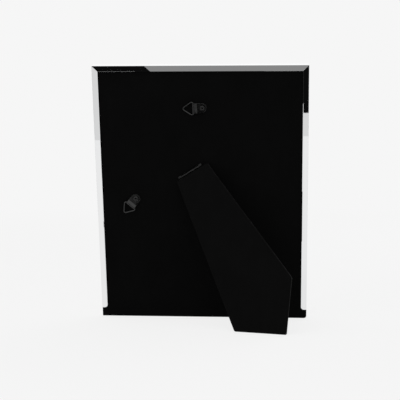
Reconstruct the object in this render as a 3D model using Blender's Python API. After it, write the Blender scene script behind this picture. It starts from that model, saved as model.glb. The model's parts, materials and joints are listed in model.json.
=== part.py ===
"""Metal photo frame that leans back on a two-way easel strut.

Metres, +Z up. The glass faces -Y and the strut stands behind it at +Y, so the
reference photograph looks along -Y at the velvet back. The frame is modelled
upright in its own plane and then leaned back as one, by an empty.

Depths in the frame are given from its rearmost plane, y = 0, and run negative
towards the glass. "Along" and "down" on the strut are measured from the hinge.
"""
import math

import bmesh
import bpy
from mathutils import Matrix, Vector

MM = 0.001

# Clearances
LAYER_GAP = 0.2 * MM      # between loose flat layers in the channel
GLUE = 0.1 * MM           # between velvet and the board that it is glued to
CLEAR = 0.3 * MM          # between any two other pieces that rest on each other
CUT_PAST = 5.0 * MM       # how far a cutter runs past the piece that it cuts
MERGE = 0.001 * MM        # points closer than this are one point

# What the frame holds: an 8 x 10 inch print behind its glass
GLASS_WIDTH = 203.2 * MM
GLASS_HEIGHT = 254.0 * MM
GLASS_THICK = 2.0 * MM
GLASS_GRIND = 0.3 * MM
GLASS_PLAY_SIDE = 0.6 * MM
GLASS_PLAY_HIGH = 1.2 * MM
PHOTO_THICK = 0.25 * MM
PHOTO_TRIM = 0.4 * MM     # how much smaller the paper is than the glass
CARD_THICK = 0.8 * MM
CARD_TRIM = 0.8 * MM

# Folded metal rails
SHEET = 1.0 * MM
FACE_WIDTH = 5.5 * MM     # front face, from the outer wall inwards
FACE_BEVEL = 0.7 * MM     # bevel along the sight edge
FACE_ROUND = 0.8 * MM     # outer front edge
LIP_WIDTH = 5.5 * MM      # rear lip on the top and both sides
LIP_SLOPE = math.radians(3.0)   # the lip is pressed in towards the board
LIP_BEVEL = 0.9 * MM      # width of the bevel along the lip's inner edge
LIP_BEVEL_DROP = 0.55 * MM
LIP_ROUND = 0.5 * MM      # outer rear edge
LIP_CLEAR = 0.3 * MM      # lip to velvet
LIP_END = 10.3 * MM       # height at which lips and rear walls stop
LIP_END_ROUND = 3.0 * MM
MITRE_GAP = 0.14 * MM     # hairline between two mitred rails, along the rail

# Back board and its velvet
BOARD_THICK = 2.5 * MM
VELVET = 0.4 * MM
BOARD_PLAY = 0.3 * MM     # velvet to channel wall, each side and at the top
TURN_IN = 12.0 * MM       # velvet folded round to the front of the board
FOOT_RISE = 1.0 * MM      # board's lower edge above the rail's underside
FOOT_ROUND = 2.0 * MM

# Easel hinge
HINGE_ALONG_X = 22.0 * MM   # hinge end that is lower, from the frame's middle
HINGE_UP = 17.9 * MM        # the same end, above the frame's middle
HINGE_SLOPE = math.radians(32.3)
OPEN_ANGLE = math.radians(28.2)
PIN_RADIUS = 0.65 * MM
PIN_PLAY = 0.08 * MM
PIN_PROUD = 0.4 * MM        # pin past the outermost knuckle, each end
PIN_DOME = 0.25 * MM
LEAF = 0.5 * MM
LEAF_LENGTH = 14.0 * MM     # both leaves, from the axis to the far edge
LEAF_CORNER = 2.0 * MM
HEEL_WIDE = 3.0 * MM        # stop heels, at the two ends of the strut's leaf
KNUCKLE_WIDE = 5.0 * MM     # two knuckles of the board's leaf
MIDDLE_WIDE = 9.0 * MM      # knuckle of the strut's leaf, between those two
CURL_OPENING = math.radians(35.0)   # gap left at the end of each curl
CURL_LAP = math.radians(11.459156)   # how far the strut leaf's curl runs into its plate
STOP_GAP = 0.1 * MM         # heel to velvet when the strut is open
RIVET_RADIUS = 1.0 * MM
RIVET_HEAD = 1.8 * MM
RIVET_HEAD_THICK = 0.35 * MM
RIVET_PLAY = 0.05 * MM
RIVET_INSET = 6.0 * MM      # rivet from the leaf's end
RIVET_DOWN = 9.0 * MM       # rivet from the axis

# Strut, measured along the hinge and down from it
STRUT_TOP = 3.3 * MM        # upper edge below the axis
STRUT_BOARD = 1.6 * MM
STRUT_LEFT = 2.7 * MM       # overhang past the hinge's lower end, at the axis
STRUT_RIGHT = 5.9 * MM      # overhang past the hinge's upper end, at the axis
TAPER_LEFT = math.radians(6.5)
TAPER_RIGHT = math.radians(8.1)
STRUT_TURN_IN = 8.0 * MM
LINING_INSET = 2.0 * MM
LINING_GAP = 0.1 * MM
STRUT_ROUND = 2.0 * MM
LEAN_TALL = math.radians(12.7)   # lean with the long side upright
LEAN_WIDE = math.radians(12.9)   # lean with the short side upright

# Strap hangers: where their eyelets are, and how far each strap is turned from
# straight up towards +X
TOP_HANGER_OFF = 1.8 * MM   # from the middle of the board, towards -X
TOP_HANGER_DOWN = 41.0 * MM   # below the top of the frame
TOP_HANGER_TURN = math.radians(92.0)
SIDE_HANGER_IN = 38.2 * MM  # from the outside of the right rail
SIDE_HANGER_LOW = 2.8 * MM  # below the frame's middle
SIDE_HANGER_TURN = math.radians(140.0)
STRAP_THICK = 0.6 * MM
STRAP_WIDE = 9.6 * MM
STRAP_LIFT = 0.3 * MM       # under leaf above the velvet
STRAP_SEAM = 0.1 * MM       # between the two leaves
STRAP_HEAD = 3.7 * MM       # round end of the upper leaf, past the eyelet
STRAP_TAIL = 4.1 * MM       # round end of the under leaf, past the eyelet
JOGGLE = 4.6 * MM           # where the upper leaf starts to climb to the loop
BAR_OFFSET = 8.3 * MM       # ring's bar from the eyelet
WIRE = 0.65 * MM            # radius of the ring's wire
WIRE_PLAY = 0.2 * MM
RING_TUCK = 0.5 * MM        # the bar's bends start this far inside the loop
RING_POINT = math.radians(33.5)   # half the angle at the ring's point
RING_ROUND = 1.7 * MM       # bend of the wire's centre line at the corners
EYELET_RADIUS = 1.5 * MM
EYELET_BORE = 0.9 * MM
EYELET_PLAY = 0.1 * MM
EYELET_FLANGE = 2.3 * MM
EYELET_FLANGE_THICK = 0.5 * MM
EYELET_ROLL = 0.35 * MM
EYELET_CROWN = EYELET_ROLL / 3   # fall of the flange's rolled edge, and its land below

# Fineness of round shapes
ARC_STEPS = 5
ROUND_STEPS = 24
SMOOTH_BELOW = math.radians(35.0)   # faces that meet at less than this are shaded as one

# Depths of the layers, from the rear plane forwards
LIP_DROP = LIP_WIDTH * math.tan(LIP_SLOPE)
VELVET_BACK = -(LIP_DROP + SHEET + LIP_CLEAR)
CORE_BACK = VELVET_BACK - VELVET - GLUE
CORE_FRONT = CORE_BACK - BOARD_THICK
TURN_IN_FRONT = CORE_FRONT - GLUE - VELVET
CARD_BACK = TURN_IN_FRONT - CLEAR
CARD_FRONT = CARD_BACK - CARD_THICK
PHOTO_BACK = CARD_FRONT - LAYER_GAP
PHOTO_FRONT = PHOTO_BACK - PHOTO_THICK
GLASS_BACK = PHOTO_FRONT - LAYER_GAP
GLASS_FRONT = GLASS_BACK - GLASS_THICK
SHEET_BACK = GLASS_FRONT - LAYER_GAP
FRAME_FRONT = SHEET_BACK - SHEET
GROUND_EDGE = CARD_BACK     # rear edge of the bottom rail, which stands on the ground

# Outer size, and the board that slides up into the channel
FRAME_WIDTH = GLASS_WIDTH + 2 * (GLASS_PLAY_SIDE + SHEET)
FRAME_HEIGHT = GLASS_HEIGHT + GLASS_PLAY_HIGH + 2 * SHEET
HINGE_HIGH = FRAME_HEIGHT / 2 + HINGE_UP
BOARD_HALF = FRAME_WIDTH / 2 - SHEET - BOARD_PLAY
BOARD_TOP = FRAME_HEIGHT - SHEET - BOARD_PLAY
SHOULDER = LIP_END - CLEAR

# Hinge and strut heights, from the hinge axis outwards
BARREL_IN = PIN_RADIUS + PIN_PLAY
BARREL_OUT = BARREL_IN + LEAF
LINING_BACK = -BARREL_OUT - LINING_GAP
LINING_FRONT = LINING_BACK - VELVET
AXIS_HIGH = CLEAR - LINING_FRONT    # axis above the velvet, so that the strut shuts flat
STRUT_IN = -BARREL_IN
STRUT_OUT = STRUT_IN + STRUT_BOARD
STRUT_FACE = STRUT_OUT + GLUE + VELVET
STRUT_FOLD = STRUT_IN - GLUE - VELVET   # velvet folded round to the inner face
HINGE_LENGTH = 2 * HEEL_WIDE + 2 * KNUCKLE_WIDE + MIDDLE_WIDE + 4 * CLEAR

# Hanger heights, from the velvet outwards
LEAVES_TOP = STRAP_LIFT + 2 * STRAP_THICK + STRAP_SEAM
LOOP_IN = WIRE + WIRE_PLAY
LOOP_OUT = LOOP_IN + STRAP_THICK
BAR_HIGH = STRAP_LIFT + LOOP_OUT

# Ring, from its bar to its point, along the centre line of the wire
RING_BEND = RING_ROUND / math.tan((math.pi / 2 - RING_POINT) / 2)
RING_HALF = STRAP_WIDE / 2 - RING_TUCK + RING_BEND
RING_HIGH = RING_HALF / math.tan(RING_POINT)
RING_REACH = RING_HIGH - RING_ROUND * (1 / math.sin(RING_POINT) - 1)


def clear_scene():
    for thing in list(bpy.data.objects):
        bpy.data.objects.remove(thing, do_unlink=True)


def material(name, colour, roughness, metallic=0.0, alpha=1.0):
    made = bpy.data.materials.new(name)
    made.use_nodes = True
    shader = made.node_tree.nodes["Principled BSDF"]
    shader.inputs["Base Color"].default_value = (*colour, 1.0)
    shader.inputs["Roughness"].default_value = roughness
    shader.inputs["Metallic"].default_value = metallic
    shader.inputs["Alpha"].default_value = alpha
    made.diffuse_color = (*colour, alpha)
    return made


def empty(name, parent, location, rotation=(0.0, 0.0, 0.0)):
    made = bpy.data.objects.new(name, None)
    made.empty_display_size = 10 * MM
    made.location = location
    made.rotation_euler = rotation
    made.parent = parent
    bpy.context.collection.objects.link(made)
    return made


def piece(name, bm, parent, finish, smooth=False):
    """Turn a bmesh into a named object, with its faces pointing outwards."""
    bmesh.ops.remove_doubles(bm, verts=bm.verts, dist=MERGE)
    bmesh.ops.recalc_face_normals(bm, faces=bm.faces)
    mesh = bpy.data.meshes.new(name)
    bm.to_mesh(mesh)
    bm.free()
    if smooth:
        mesh.shade_smooth()
        mesh.set_sharp_from_angle(angle=SMOOTH_BELOW)
    made = bpy.data.objects.new(name, mesh)
    made.parent = parent
    if finish:
        mesh.materials.append(finish)
    bpy.context.collection.objects.link(made)
    return made


def boolean(target, cutter, operation="DIFFERENCE"):
    cutter.hide_render = True
    cutter.display_type = "WIRE"
    step = target.modifiers.new(cutter.name, "BOOLEAN")
    step.operation = operation
    step.solver = "EXACT"
    step.object = cutter


def arc(centre, radius, start, end, steps):
    """Points on an arc, both ends included, angles in radians."""
    points = []
    for i in range(steps + 1):
        angle = start + (end - start) * i / steps
        points.append((centre[0] + radius * math.cos(angle), centre[1] + radius * math.sin(angle)))
    return points


def outline(corners):
    """Round the corners (u, v, radius) of a closed outline and return its points."""
    points = []
    for i, (u, v, radius) in enumerate(corners):
        here = Vector((u, v))
        if radius <= 0:
            points.append(here)
            continue
        before = (Vector(corners[i - 1][:2]) - here).normalized()
        after = (Vector(corners[(i + 1) % len(corners)][:2]) - here).normalized()
        half = before.angle(after) / 2
        centre = here + (before + after).normalized() * (radius / math.sin(half))
        reach = radius / math.tan(half)
        start = here + before * reach - centre
        sweep = math.pi - 2 * half
        if start.x * (here - centre).y - start.y * (here - centre).x < 0:
            sweep = -sweep
        first = math.atan2(start.y, start.x)
        points.extend(Vector(p) for p in arc(centre, radius, first, first + sweep, ARC_STEPS))
    kept = [p for i, p in enumerate(points) if (p - points[i - 1]).length > MERGE]
    return [(p.x, p.y) for p in kept]


def prism(points, low, high, plane):
    """Extrude a flat outline; plane turns (u, v, depth) into x, y, z."""
    bm = bmesh.new()
    face = bm.faces.new([bm.verts.new(plane(u, v, low)) for u, v in points])
    grown = bmesh.ops.extrude_face_region(bm, geom=[face])
    moved = [v for v in grown["geom"] if isinstance(v, bmesh.types.BMVert)]
    shift = Vector(plane(0, 0, high)) - Vector(plane(0, 0, low))
    bmesh.ops.translate(bm, verts=moved, vec=shift)
    return bm


def upright(u, v, depth):
    """Outline in the piece's own XZ plane, extruded along its Y."""
    return (u, depth, v)


def flat(u, v, depth):
    """Outline in the piece's own XY plane, extruded along its Z."""
    return (u, v, depth)


def across(u, v, depth):
    """Section in the piece's own YZ plane, extruded along its X."""
    return (depth, u, v)


def box(name, parent, low, high):
    """Plain block in the parent's own axes, used for cutters."""
    corners = [(low[0], low[1]), (high[0], low[1]), (high[0], high[1]), (low[0], high[1])]
    return piece(name, prism(corners, low[2], high[2], flat), parent, None)


def spun(profile):
    """Turn a closed (radius, height) outline a full circle about Z."""
    bm = bmesh.new()
    verts = [bm.verts.new((radius, 0, height)) for radius, height in profile]
    edges = [bm.edges.new((verts[i - 1], verts[i])) for i in range(len(verts))]
    bmesh.ops.spin(
        bm, geom=verts + edges, cent=(0, 0, 0), axis=(0, 0, 1),
        angle=2 * math.pi, steps=ROUND_STEPS, use_merge=True, use_duplicate=False,
    )
    return bm


def rod(name, parent, radius, low, high, centre=(0.0, 0.0)):
    """Round bar along the parent's Z, used for cutters."""
    points = arc(centre, radius, 0, 2 * math.pi * (1 - 1 / ROUND_STEPS), ROUND_STEPS - 1)
    return piece(name, prism(points, low, high, flat), parent, None, smooth=True)


# Rails

def rail_corners(with_lip):
    """Section of a rail: distance inwards from the outer wall, and depth."""
    front = [
        (SHEET, SHEET_BACK, 0),
        (FACE_WIDTH, SHEET_BACK, 0),
        (FACE_WIDTH, FRAME_FRONT + FACE_BEVEL / 2, 0),
        (FACE_WIDTH - FACE_BEVEL, FRAME_FRONT, 0),
        (0, FRAME_FRONT, FACE_ROUND),
    ]
    if not with_lip:
        return front + [(0, GROUND_EDGE, 0), (SHEET, GROUND_EDGE, 0)]
    slope = math.tan(LIP_SLOPE)
    bevel_start = LIP_WIDTH - LIP_BEVEL
    return front + [
        (0, 0, LIP_ROUND),
        (bevel_start, -slope * bevel_start, 0),
        (LIP_WIDTH, -slope * bevel_start - LIP_BEVEL_DROP, 0),
        (LIP_WIDTH, -LIP_DROP - SHEET, 0),
        (SHEET, -slope * SHEET - SHEET, 0),
    ]


def rail(name, with_lip, length, place, turn, parent, finish):
    """One mitred rail, along its own X with the outer wall at z = 0."""
    bm = bmesh.new()
    end = []
    for inwards, depth in outline(rail_corners(with_lip)):
        end.append(bm.verts.new((inwards + MITRE_GAP / 2 - length / 2, depth, inwards)))
    grown = bmesh.ops.extrude_face_region(bm, geom=[bm.faces.new(end)])
    for vert in grown["geom"]:
        if isinstance(vert, bmesh.types.BMVert):
            vert.co.x = -vert.co.x
    made = piece(name, bm, parent, finish, smooth=True)
    made.location = place
    made.rotation_euler = (0, turn, 0)
    return made


def end_lip(side_rail, lower_end):
    """Stop a side rail's lip and rear wall above the board's foot, with a round corner."""
    corners = [
        (-CUT_PAST, -CUT_PAST, 0),
        (LIP_END, -CUT_PAST, 0),
        (LIP_END, LIP_WIDTH, LIP_END_ROUND),
        (LIP_END + LIP_END_ROUND, LIP_WIDTH, 0),
        (LIP_END + LIP_END_ROUND, LIP_WIDTH + CUT_PAST, 0),
        (-CUT_PAST, LIP_WIDTH + CUT_PAST, 0),
    ]
    points = [(lower_end * (FRAME_HEIGHT / 2 - up), inwards) for up, inwards in outline(corners)]
    shape = prism(points, GROUND_EDGE, CUT_PAST, upright)
    cutter = piece(side_rail.name + "_end_cutter", shape, side_rail.parent, None)
    cutter.location = side_rail.location
    cutter.rotation_euler = side_rail.rotation_euler
    boolean(side_rail, cutter)


def build_rails(frame, metal):
    half = FRAME_WIDTH / 2
    middle = FRAME_HEIGHT / 2
    quarter = math.pi / 2
    rail("bottom_rail", False, FRAME_WIDTH, (0, 0, 0), 0, frame, metal)
    rail("top_rail", True, FRAME_WIDTH, (0, 0, FRAME_HEIGHT), math.pi, frame, metal)
    left = rail("left_rail", True, FRAME_HEIGHT, (-half, 0, middle), quarter, frame, metal)
    right = rail("right_rail", True, FRAME_HEIGHT, (half, 0, middle), -quarter, frame, metal)
    end_lip(left, 1)
    end_lip(right, -1)


def build_filling(frame, glass, paper, card):
    """Glass, print and card stand on the bottom rail, behind the front face."""
    foot = SHEET + CLEAR
    layers = [
        ("glass_pane", 0, GLASS_FRONT, GLASS_BACK, glass),
        ("photo_insert", PHOTO_TRIM, PHOTO_FRONT, PHOTO_BACK, paper),
        ("backing_card", CARD_TRIM, CARD_FRONT, CARD_BACK, card),
    ]
    for name, trim, front, back, finish in layers:
        half = (GLASS_WIDTH - trim) / 2
        top = foot + GLASS_HEIGHT - trim
        corners = [(-half, foot), (half, foot), (half, top), (-half, top)]
        made = piece(name, prism(corners, front, back, upright), frame, finish)
        if name == "glass_pane":
            ground = made.modifiers.new("ground edges", "BEVEL")
            ground.width = GLASS_GRIND
            ground.segments = 1


# Back board

def board_corners(inset):
    """Board with a full-width foot, whose shoulders stop under the side rails."""
    foot = FRAME_WIDTH / 2 - inset
    body = BOARD_HALF - inset
    low = FOOT_RISE + inset
    shoulder = SHOULDER - inset
    top = BOARD_TOP - inset
    turn = FOOT_ROUND - inset
    return [
        (-foot, low, turn), (foot, low, turn), (foot, shoulder, 0), (body, shoulder, 0),
        (body, top, 0), (-body, top, 0), (-body, shoulder, 0), (-foot, shoulder, 0),
    ]


def build_board(slide, hinge_line, board, velvet):
    points = outline(board_corners(VELVET + GLUE))
    core = piece("back_board", prism(points, CORE_FRONT, CORE_BACK, upright), slide, board)
    cover_shape = prism(outline(board_corners(0)), TURN_IN_FRONT, VELVET_BACK, upright)
    cover = piece("board_velvet", cover_shape, slide, velvet)

    hollow = prism(outline(board_corners(VELVET)), CORE_FRONT - GLUE, CORE_BACK + GLUE, upright)
    boolean(cover, piece("velvet_hollow_cutter", hollow, slide, None))
    window_half = BOARD_HALF - TURN_IN
    window_low = FOOT_RISE + TURN_IN
    window_top = BOARD_TOP - TURN_IN
    window = [(-window_half, window_low), (window_half, window_low),
              (window_half, window_top), (-window_half, window_top)]
    shape = prism(window, TURN_IN_FRONT - CUT_PAST, CORE_FRONT, upright)
    boolean(cover, piece("velvet_window_cutter", shape, slide, None))

    for start, _ in knuckle_spans():
        slot_low = (start - CLEAR, BARREL_IN - CLEAR, -AXIS_HIGH - VELVET - GLUE)
        slot_high = (start + KNUCKLE_WIDE + CLEAR, BARREL_OUT + CLEAR, 0)
        boolean(cover, box("velvet_slot_cutter", hinge_line, slot_low, slot_high))
    pocket_low = (-CLEAR, BARREL_IN - CLEAR, leaf_floor() - GLUE)
    pocket_high = (HINGE_LENGTH + CLEAR, LEAF_LENGTH + CLEAR, 0)
    boolean(core, box("leaf_pocket_cutter", hinge_line, pocket_low, pocket_high))
    for along in rivet_places():
        spot = (along, RIVET_DOWN)
        depth = CORE_FRONT - VELVET_BACK - AXIS_HIGH
        shank = rod("rivet_hole_cutter", hinge_line, RIVET_RADIUS + RIVET_PLAY,
                    depth - CUT_PAST, 0, centre=spot)
        boolean(core, shank)
        head = rod("rivet_head_cutter", hinge_line, RIVET_HEAD + CLEAR,
                   depth - CUT_PAST, depth + RIVET_HEAD_THICK + CLEAR, centre=spot)
        boolean(core, head)
    return core, cover


# Hinge, in the frame of its axis: X along it, Y up the board, Z out of the velvet

def knuckle_spans():
    """Where the two knuckles of the board's leaf begin and end."""
    first = HEEL_WIDE + CLEAR
    second = first + KNUCKLE_WIDE + CLEAR + MIDDLE_WIDE + CLEAR
    return [(first, first + KNUCKLE_WIDE), (second, second + KNUCKLE_WIDE)]


def rivet_places():
    return [RIVET_INSET, HINGE_LENGTH - RIVET_INSET]


def leaf_floor():
    """Underside of the board's leaf, below the velvet, from the axis."""
    return -AXIS_HIGH - VELVET - 2 * GLUE - LEAF


def leaf_plate(spans, far, low, high):
    """Flat leaf with one straight far edge and a near edge that steps along the hinge."""
    corners = [(HINGE_LENGTH, far, LEAF_CORNER), (0, far, LEAF_CORNER)]
    for start, end, near in spans:
        corners += [(start, near, 0), (end, near, 0)]
    return prism(outline(corners), low, high, flat)


def curl(start_angle, sweep):
    """Section of a rolled knuckle: an arc of sheet round the axis."""
    steps = ROUND_STEPS
    outer = arc((0, 0), BARREL_OUT, start_angle, start_angle + sweep, steps)
    inner = arc((0, 0), BARREL_IN, start_angle + sweep, start_angle, steps)
    return outer + inner


def joined(name, shapes, parent, finish):
    """Union of solids that overlap, as one closed piece."""
    first = piece(name, shapes[0], parent, finish, smooth=True)
    for number, shape in enumerate(shapes[1:], 1):
        boolean(first, piece(name + "_part_" + str(number), shape, parent, None), "UNION")
    return first


def build_board_leaf(hinge_line, steel):
    """Leaf under the velvet, with risers that come through slots and roll over the pin."""
    floor = leaf_floor()
    plate = leaf_plate([(0, HINGE_LENGTH, BARREL_IN)], LEAF_LENGTH, floor, floor + LEAF)
    shapes = [plate]
    sweep = 1.5 * math.pi - CURL_OPENING
    section = [(BARREL_OUT, floor + LEAF / 2), (BARREL_OUT, 0)]
    section += curl(0, sweep)[1:-1]
    section += [(BARREL_IN, 0), (BARREL_IN, floor + LEAF / 2)]
    for start, end in knuckle_spans():
        shapes.append(prism(section, start, end, across))
    leaf = joined("hinge_board_leaf", shapes, hinge_line, steel)
    for along in rivet_places():
        boolean(leaf, rod("board_leaf_hole_cutter", hinge_line, RIVET_RADIUS + RIVET_PLAY,
                          floor - LEAF, floor + 2 * LEAF, centre=(along, RIVET_DOWN)))


def heel_reach():
    """How far the stop heels pass the axis, so that they meet the velvet at the open angle."""
    room = AXIS_HIGH - STOP_GAP - BARREL_OUT * math.cos(OPEN_ANGLE)
    return room / math.sin(OPEN_ANGLE)


def build_strut_leaf(strut_turn, steel):
    """Leaf on the strut: a middle knuckle round the pin and a stop heel at either end."""
    clear_of_knuckle = -BARREL_OUT - CLEAR
    spans = knuckle_spans()
    middle_start = spans[0][1] + CLEAR
    middle_end = spans[1][0] - CLEAR
    heel = heel_reach()
    steps = [
        (0, HEEL_WIDE, heel),
        (HEEL_WIDE, middle_start, clear_of_knuckle),
        (middle_start, middle_end, 0),
        (middle_end, HINGE_LENGTH - HEEL_WIDE, clear_of_knuckle),
        (HINGE_LENGTH - HEEL_WIDE, HINGE_LENGTH, heel),
    ]
    plate = leaf_plate(steps, -LEAF_LENGTH, -BARREL_OUT, -BARREL_IN)
    round_pin = curl(-math.pi / 2 - CURL_LAP, 2 * math.pi - CURL_OPENING)
    knuckle = prism(round_pin, middle_start, middle_end, across)
    leaf = joined("hinge_strut_leaf", [plate, knuckle], strut_turn, steel)
    for along in rivet_places():
        boolean(leaf, rod("strut_leaf_hole_cutter", strut_turn, RIVET_RADIUS + RIVET_PLAY,
                          -BARREL_OUT - LEAF, 0, centre=(along, -RIVET_DOWN)))


def build_pin(hinge_line, steel):
    low = -PIN_PROUD
    high = HINGE_LENGTH + PIN_PROUD
    profile = [(0.0, low), (PIN_RADIUS - PIN_DOME, low), (PIN_RADIUS, low + PIN_DOME),
               (PIN_RADIUS, high - PIN_DOME), (PIN_RADIUS - PIN_DOME, high), (0.0, high)]
    made = piece("hinge_pin", spun(profile), hinge_line, steel, smooth=True)
    made.rotation_euler = (0, math.pi / 2, 0)


def rivet(name, parent, spot, head_face, tail, steel):
    """Solid rivet along Z, its head beginning at head_face and its shank ending at tail."""
    away = -1 if tail > head_face else 1
    outer = head_face + away * RIVET_HEAD_THICK
    profile = [(0.0, tail), (RIVET_RADIUS, tail), (RIVET_RADIUS, head_face),
               (RIVET_HEAD, head_face), (RIVET_HEAD - RIVET_HEAD_THICK / 2, outer), (0.0, outer)]
    made = piece(name, spun(profile), parent, steel, smooth=True)
    made.location = (*spot, 0)


def build_rivets(hinge_line, strut_turn, steel):
    board_front = CORE_FRONT - VELVET_BACK - AXIS_HIGH
    for number, along in enumerate(rivet_places(), 1):
        head_face = board_front + RIVET_HEAD_THICK + CLEAR / 2
        rivet("hinge_board_rivet_" + str(number), hinge_line, (along, RIVET_DOWN),
              head_face, leaf_floor() + LEAF, steel)
        head_face = STRUT_OUT - RIVET_HEAD_THICK - CLEAR / 2
        rivet("hinge_strut_rivet_" + str(number), strut_turn, (along, -RIVET_DOWN),
              head_face, -BARREL_OUT, steel)


# Strut, in the frame of the open hinge: X along the axis, Y back up the strut

def strut_axes():
    """Directions along the hinge, down the open strut and out of its face, in the frame."""
    along = Vector((-math.cos(HINGE_SLOPE), 0, math.sin(HINGE_SLOPE)))
    down = Vector((-math.sin(HINGE_SLOPE), 0, -math.cos(HINGE_SLOPE)))
    out = Vector((0, 1, 0))
    down_open = math.cos(OPEN_ANGLE) * down + math.sin(OPEN_ANGLE) * out
    out_open = math.cos(OPEN_ANGLE) * out - math.sin(OPEN_ANGLE) * down
    return along, down_open, out_open


def ground_side(point, upwards):
    """Line where the open strut's folded velvet meets the ground, as (outward normal, distance)."""
    along, down, out = strut_axes()
    axis = Vector((HINGE_ALONG_X, VELVET_BACK + AXIS_HIGH, HINGE_HIGH))
    inner_face = axis + STRUT_FOLD * out
    normal = Vector((-upwards.dot(along), -upwards.dot(down)))
    distance = upwards.dot(inner_face - point)
    return normal.normalized(), distance / normal.length


def strut_sides():
    """The strut's five sides in order, as (outward normal, distance) along and down."""
    tall_up = Vector((0, -math.sin(LEAN_TALL), math.cos(LEAN_TALL)))
    wide_up = Vector((math.cos(LEAN_WIDE), -math.sin(LEAN_WIDE), 0))
    tall_foot = ground_side(Vector((0, GROUND_EDGE, 0)), tall_up)
    wide_foot = ground_side(Vector((-FRAME_WIDTH / 2, 0, 0)), wide_up)
    left = Vector((-math.cos(TAPER_LEFT), -math.sin(TAPER_LEFT)))
    right = Vector((math.cos(TAPER_RIGHT), -math.sin(TAPER_RIGHT)))
    return [
        (Vector((0, -1)), -STRUT_TOP),
        (right, right.dot(Vector((HINGE_LENGTH + STRUT_RIGHT, 0)))),
        wide_foot,
        tall_foot,
        (left, left.dot(Vector((-STRUT_LEFT, 0)))),
    ]


def strut_points(inset, rounding):
    """Corners where neighbouring sides cross, drawn in by inset, rounded."""
    sides = strut_sides()
    corners = []
    for i, (normal, distance) in enumerate(sides):
        other, other_distance = sides[(i + 1) % len(sides)]
        both = Matrix((normal, other))
        spot = both.inverted() @ Vector((distance - inset, other_distance - inset))
        corners.append((spot.x, -spot.y, rounding))
    return outline(corners)


def build_strut(strut_turn, board, velvet):
    wrap = VELVET + GLUE
    core = piece("strut_core", prism(strut_points(wrap, STRUT_ROUND - wrap), STRUT_IN, STRUT_OUT, flat),
                 strut_turn, board)
    cover = piece("strut_velvet", prism(strut_points(0, STRUT_ROUND), STRUT_FOLD, STRUT_FACE, flat),
                  strut_turn, velvet)
    hollow = prism(strut_points(VELVET, STRUT_ROUND - VELVET), STRUT_FOLD + VELVET, STRUT_OUT + GLUE, flat)
    boolean(cover, piece("strut_hollow_cutter", hollow, strut_turn, None))
    window = prism(strut_points(STRUT_TURN_IN, STRUT_ROUND), STRUT_FOLD - CUT_PAST, STRUT_IN, flat)
    boolean(cover, piece("strut_window_cutter", window, strut_turn, None))
    mouth_low = (-CLEAR, -LEAF_LENGTH - CLEAR, STRUT_FOLD - CUT_PAST)
    mouth_high = (HINGE_LENGTH + CLEAR, 0, STRUT_IN)
    boolean(cover, box("strut_mouth_cutter", strut_turn, mouth_low, mouth_high))

    lining_points = strut_points(LINING_INSET, STRUT_ROUND)
    piece("strut_lining", prism(lining_points, LINING_FRONT, LINING_BACK, flat), strut_turn, velvet)

    for along in rivet_places():
        spot = (along, -RIVET_DOWN)
        boolean(core, rod("strut_rivet_hole_cutter", strut_turn, RIVET_RADIUS + RIVET_PLAY,
                          STRUT_IN - CUT_PAST, STRUT_OUT + CUT_PAST, centre=spot))
        boolean(core, rod("strut_rivet_head_cutter", strut_turn, RIVET_HEAD + CLEAR,
                          STRUT_OUT - RIVET_HEAD_THICK - CLEAR, STRUT_OUT + CUT_PAST, centre=spot))


# Hangers, in the frame of the rivet: X along the strap, Z out of the velvet

def strap_section():
    """Two leaves of sheet with a loop round the ring's bar, seen from the side."""
    centre = Vector((BAR_OFFSET, BAR_HIGH))
    under_top = STRAP_LIFT + STRAP_THICK
    upper_low = under_top + STRAP_SEAM
    climb_from = Vector((JOGGLE, LEAVES_TOP))
    to_centre = centre - climb_from
    climb = math.atan2(to_centre.y, to_centre.x) + math.asin(LOOP_OUT / to_centre.length)
    leave = climb + math.pi / 2
    inner_leave = centre + LOOP_IN * Vector((math.cos(leave), math.sin(leave)))
    inner_start = inner_leave.x - (inner_leave.y - upper_low) / math.tan(climb)
    points = [(-STRAP_TAIL, STRAP_LIFT)]
    points += arc(centre, LOOP_OUT, -math.pi / 2, leave, 3 * ARC_STEPS)
    points += [(climb_from.x, climb_from.y), (-STRAP_HEAD, LEAVES_TOP), (-STRAP_HEAD, upper_low)]
    points += [(inner_start, upper_low)]
    points += arc(centre, LOOP_IN, leave, -math.pi / 2, 3 * ARC_STEPS)
    points += [(-STRAP_TAIL, under_top)]
    return points


def round_end(strap, turn, end, low, high, name):
    """Round off a leaf at the given distance past the eyelet."""
    half = STRAP_WIDE / 2
    start = half - end
    shape = arc((start, 0), half, math.pi / 2, 1.5 * math.pi, ROUND_STEPS // 2)
    past = STRAP_WIDE
    points = shape + [(start, -past), (start - past, -past), (start - past, past), (start, past)]
    boolean(strap, piece(strap.name + name, prism(points, low, high, flat), turn, None))


def build_strap(name, turn, steel):
    half = STRAP_WIDE / 2
    strap = piece(name, prism(strap_section(), -half, half, upright), turn, steel, smooth=True)
    seam = STRAP_LIFT + STRAP_THICK + STRAP_SEAM / 2
    round_end(strap, turn, STRAP_HEAD, seam, CUT_PAST, "_head_cutter")
    round_end(strap, turn, STRAP_TAIL, -CUT_PAST, seam, "_tail_cutter")
    boolean(strap, rod(name + "_hole_cutter", turn, EYELET_RADIUS + EYELET_PLAY, -CUT_PAST, CUT_PAST))


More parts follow.
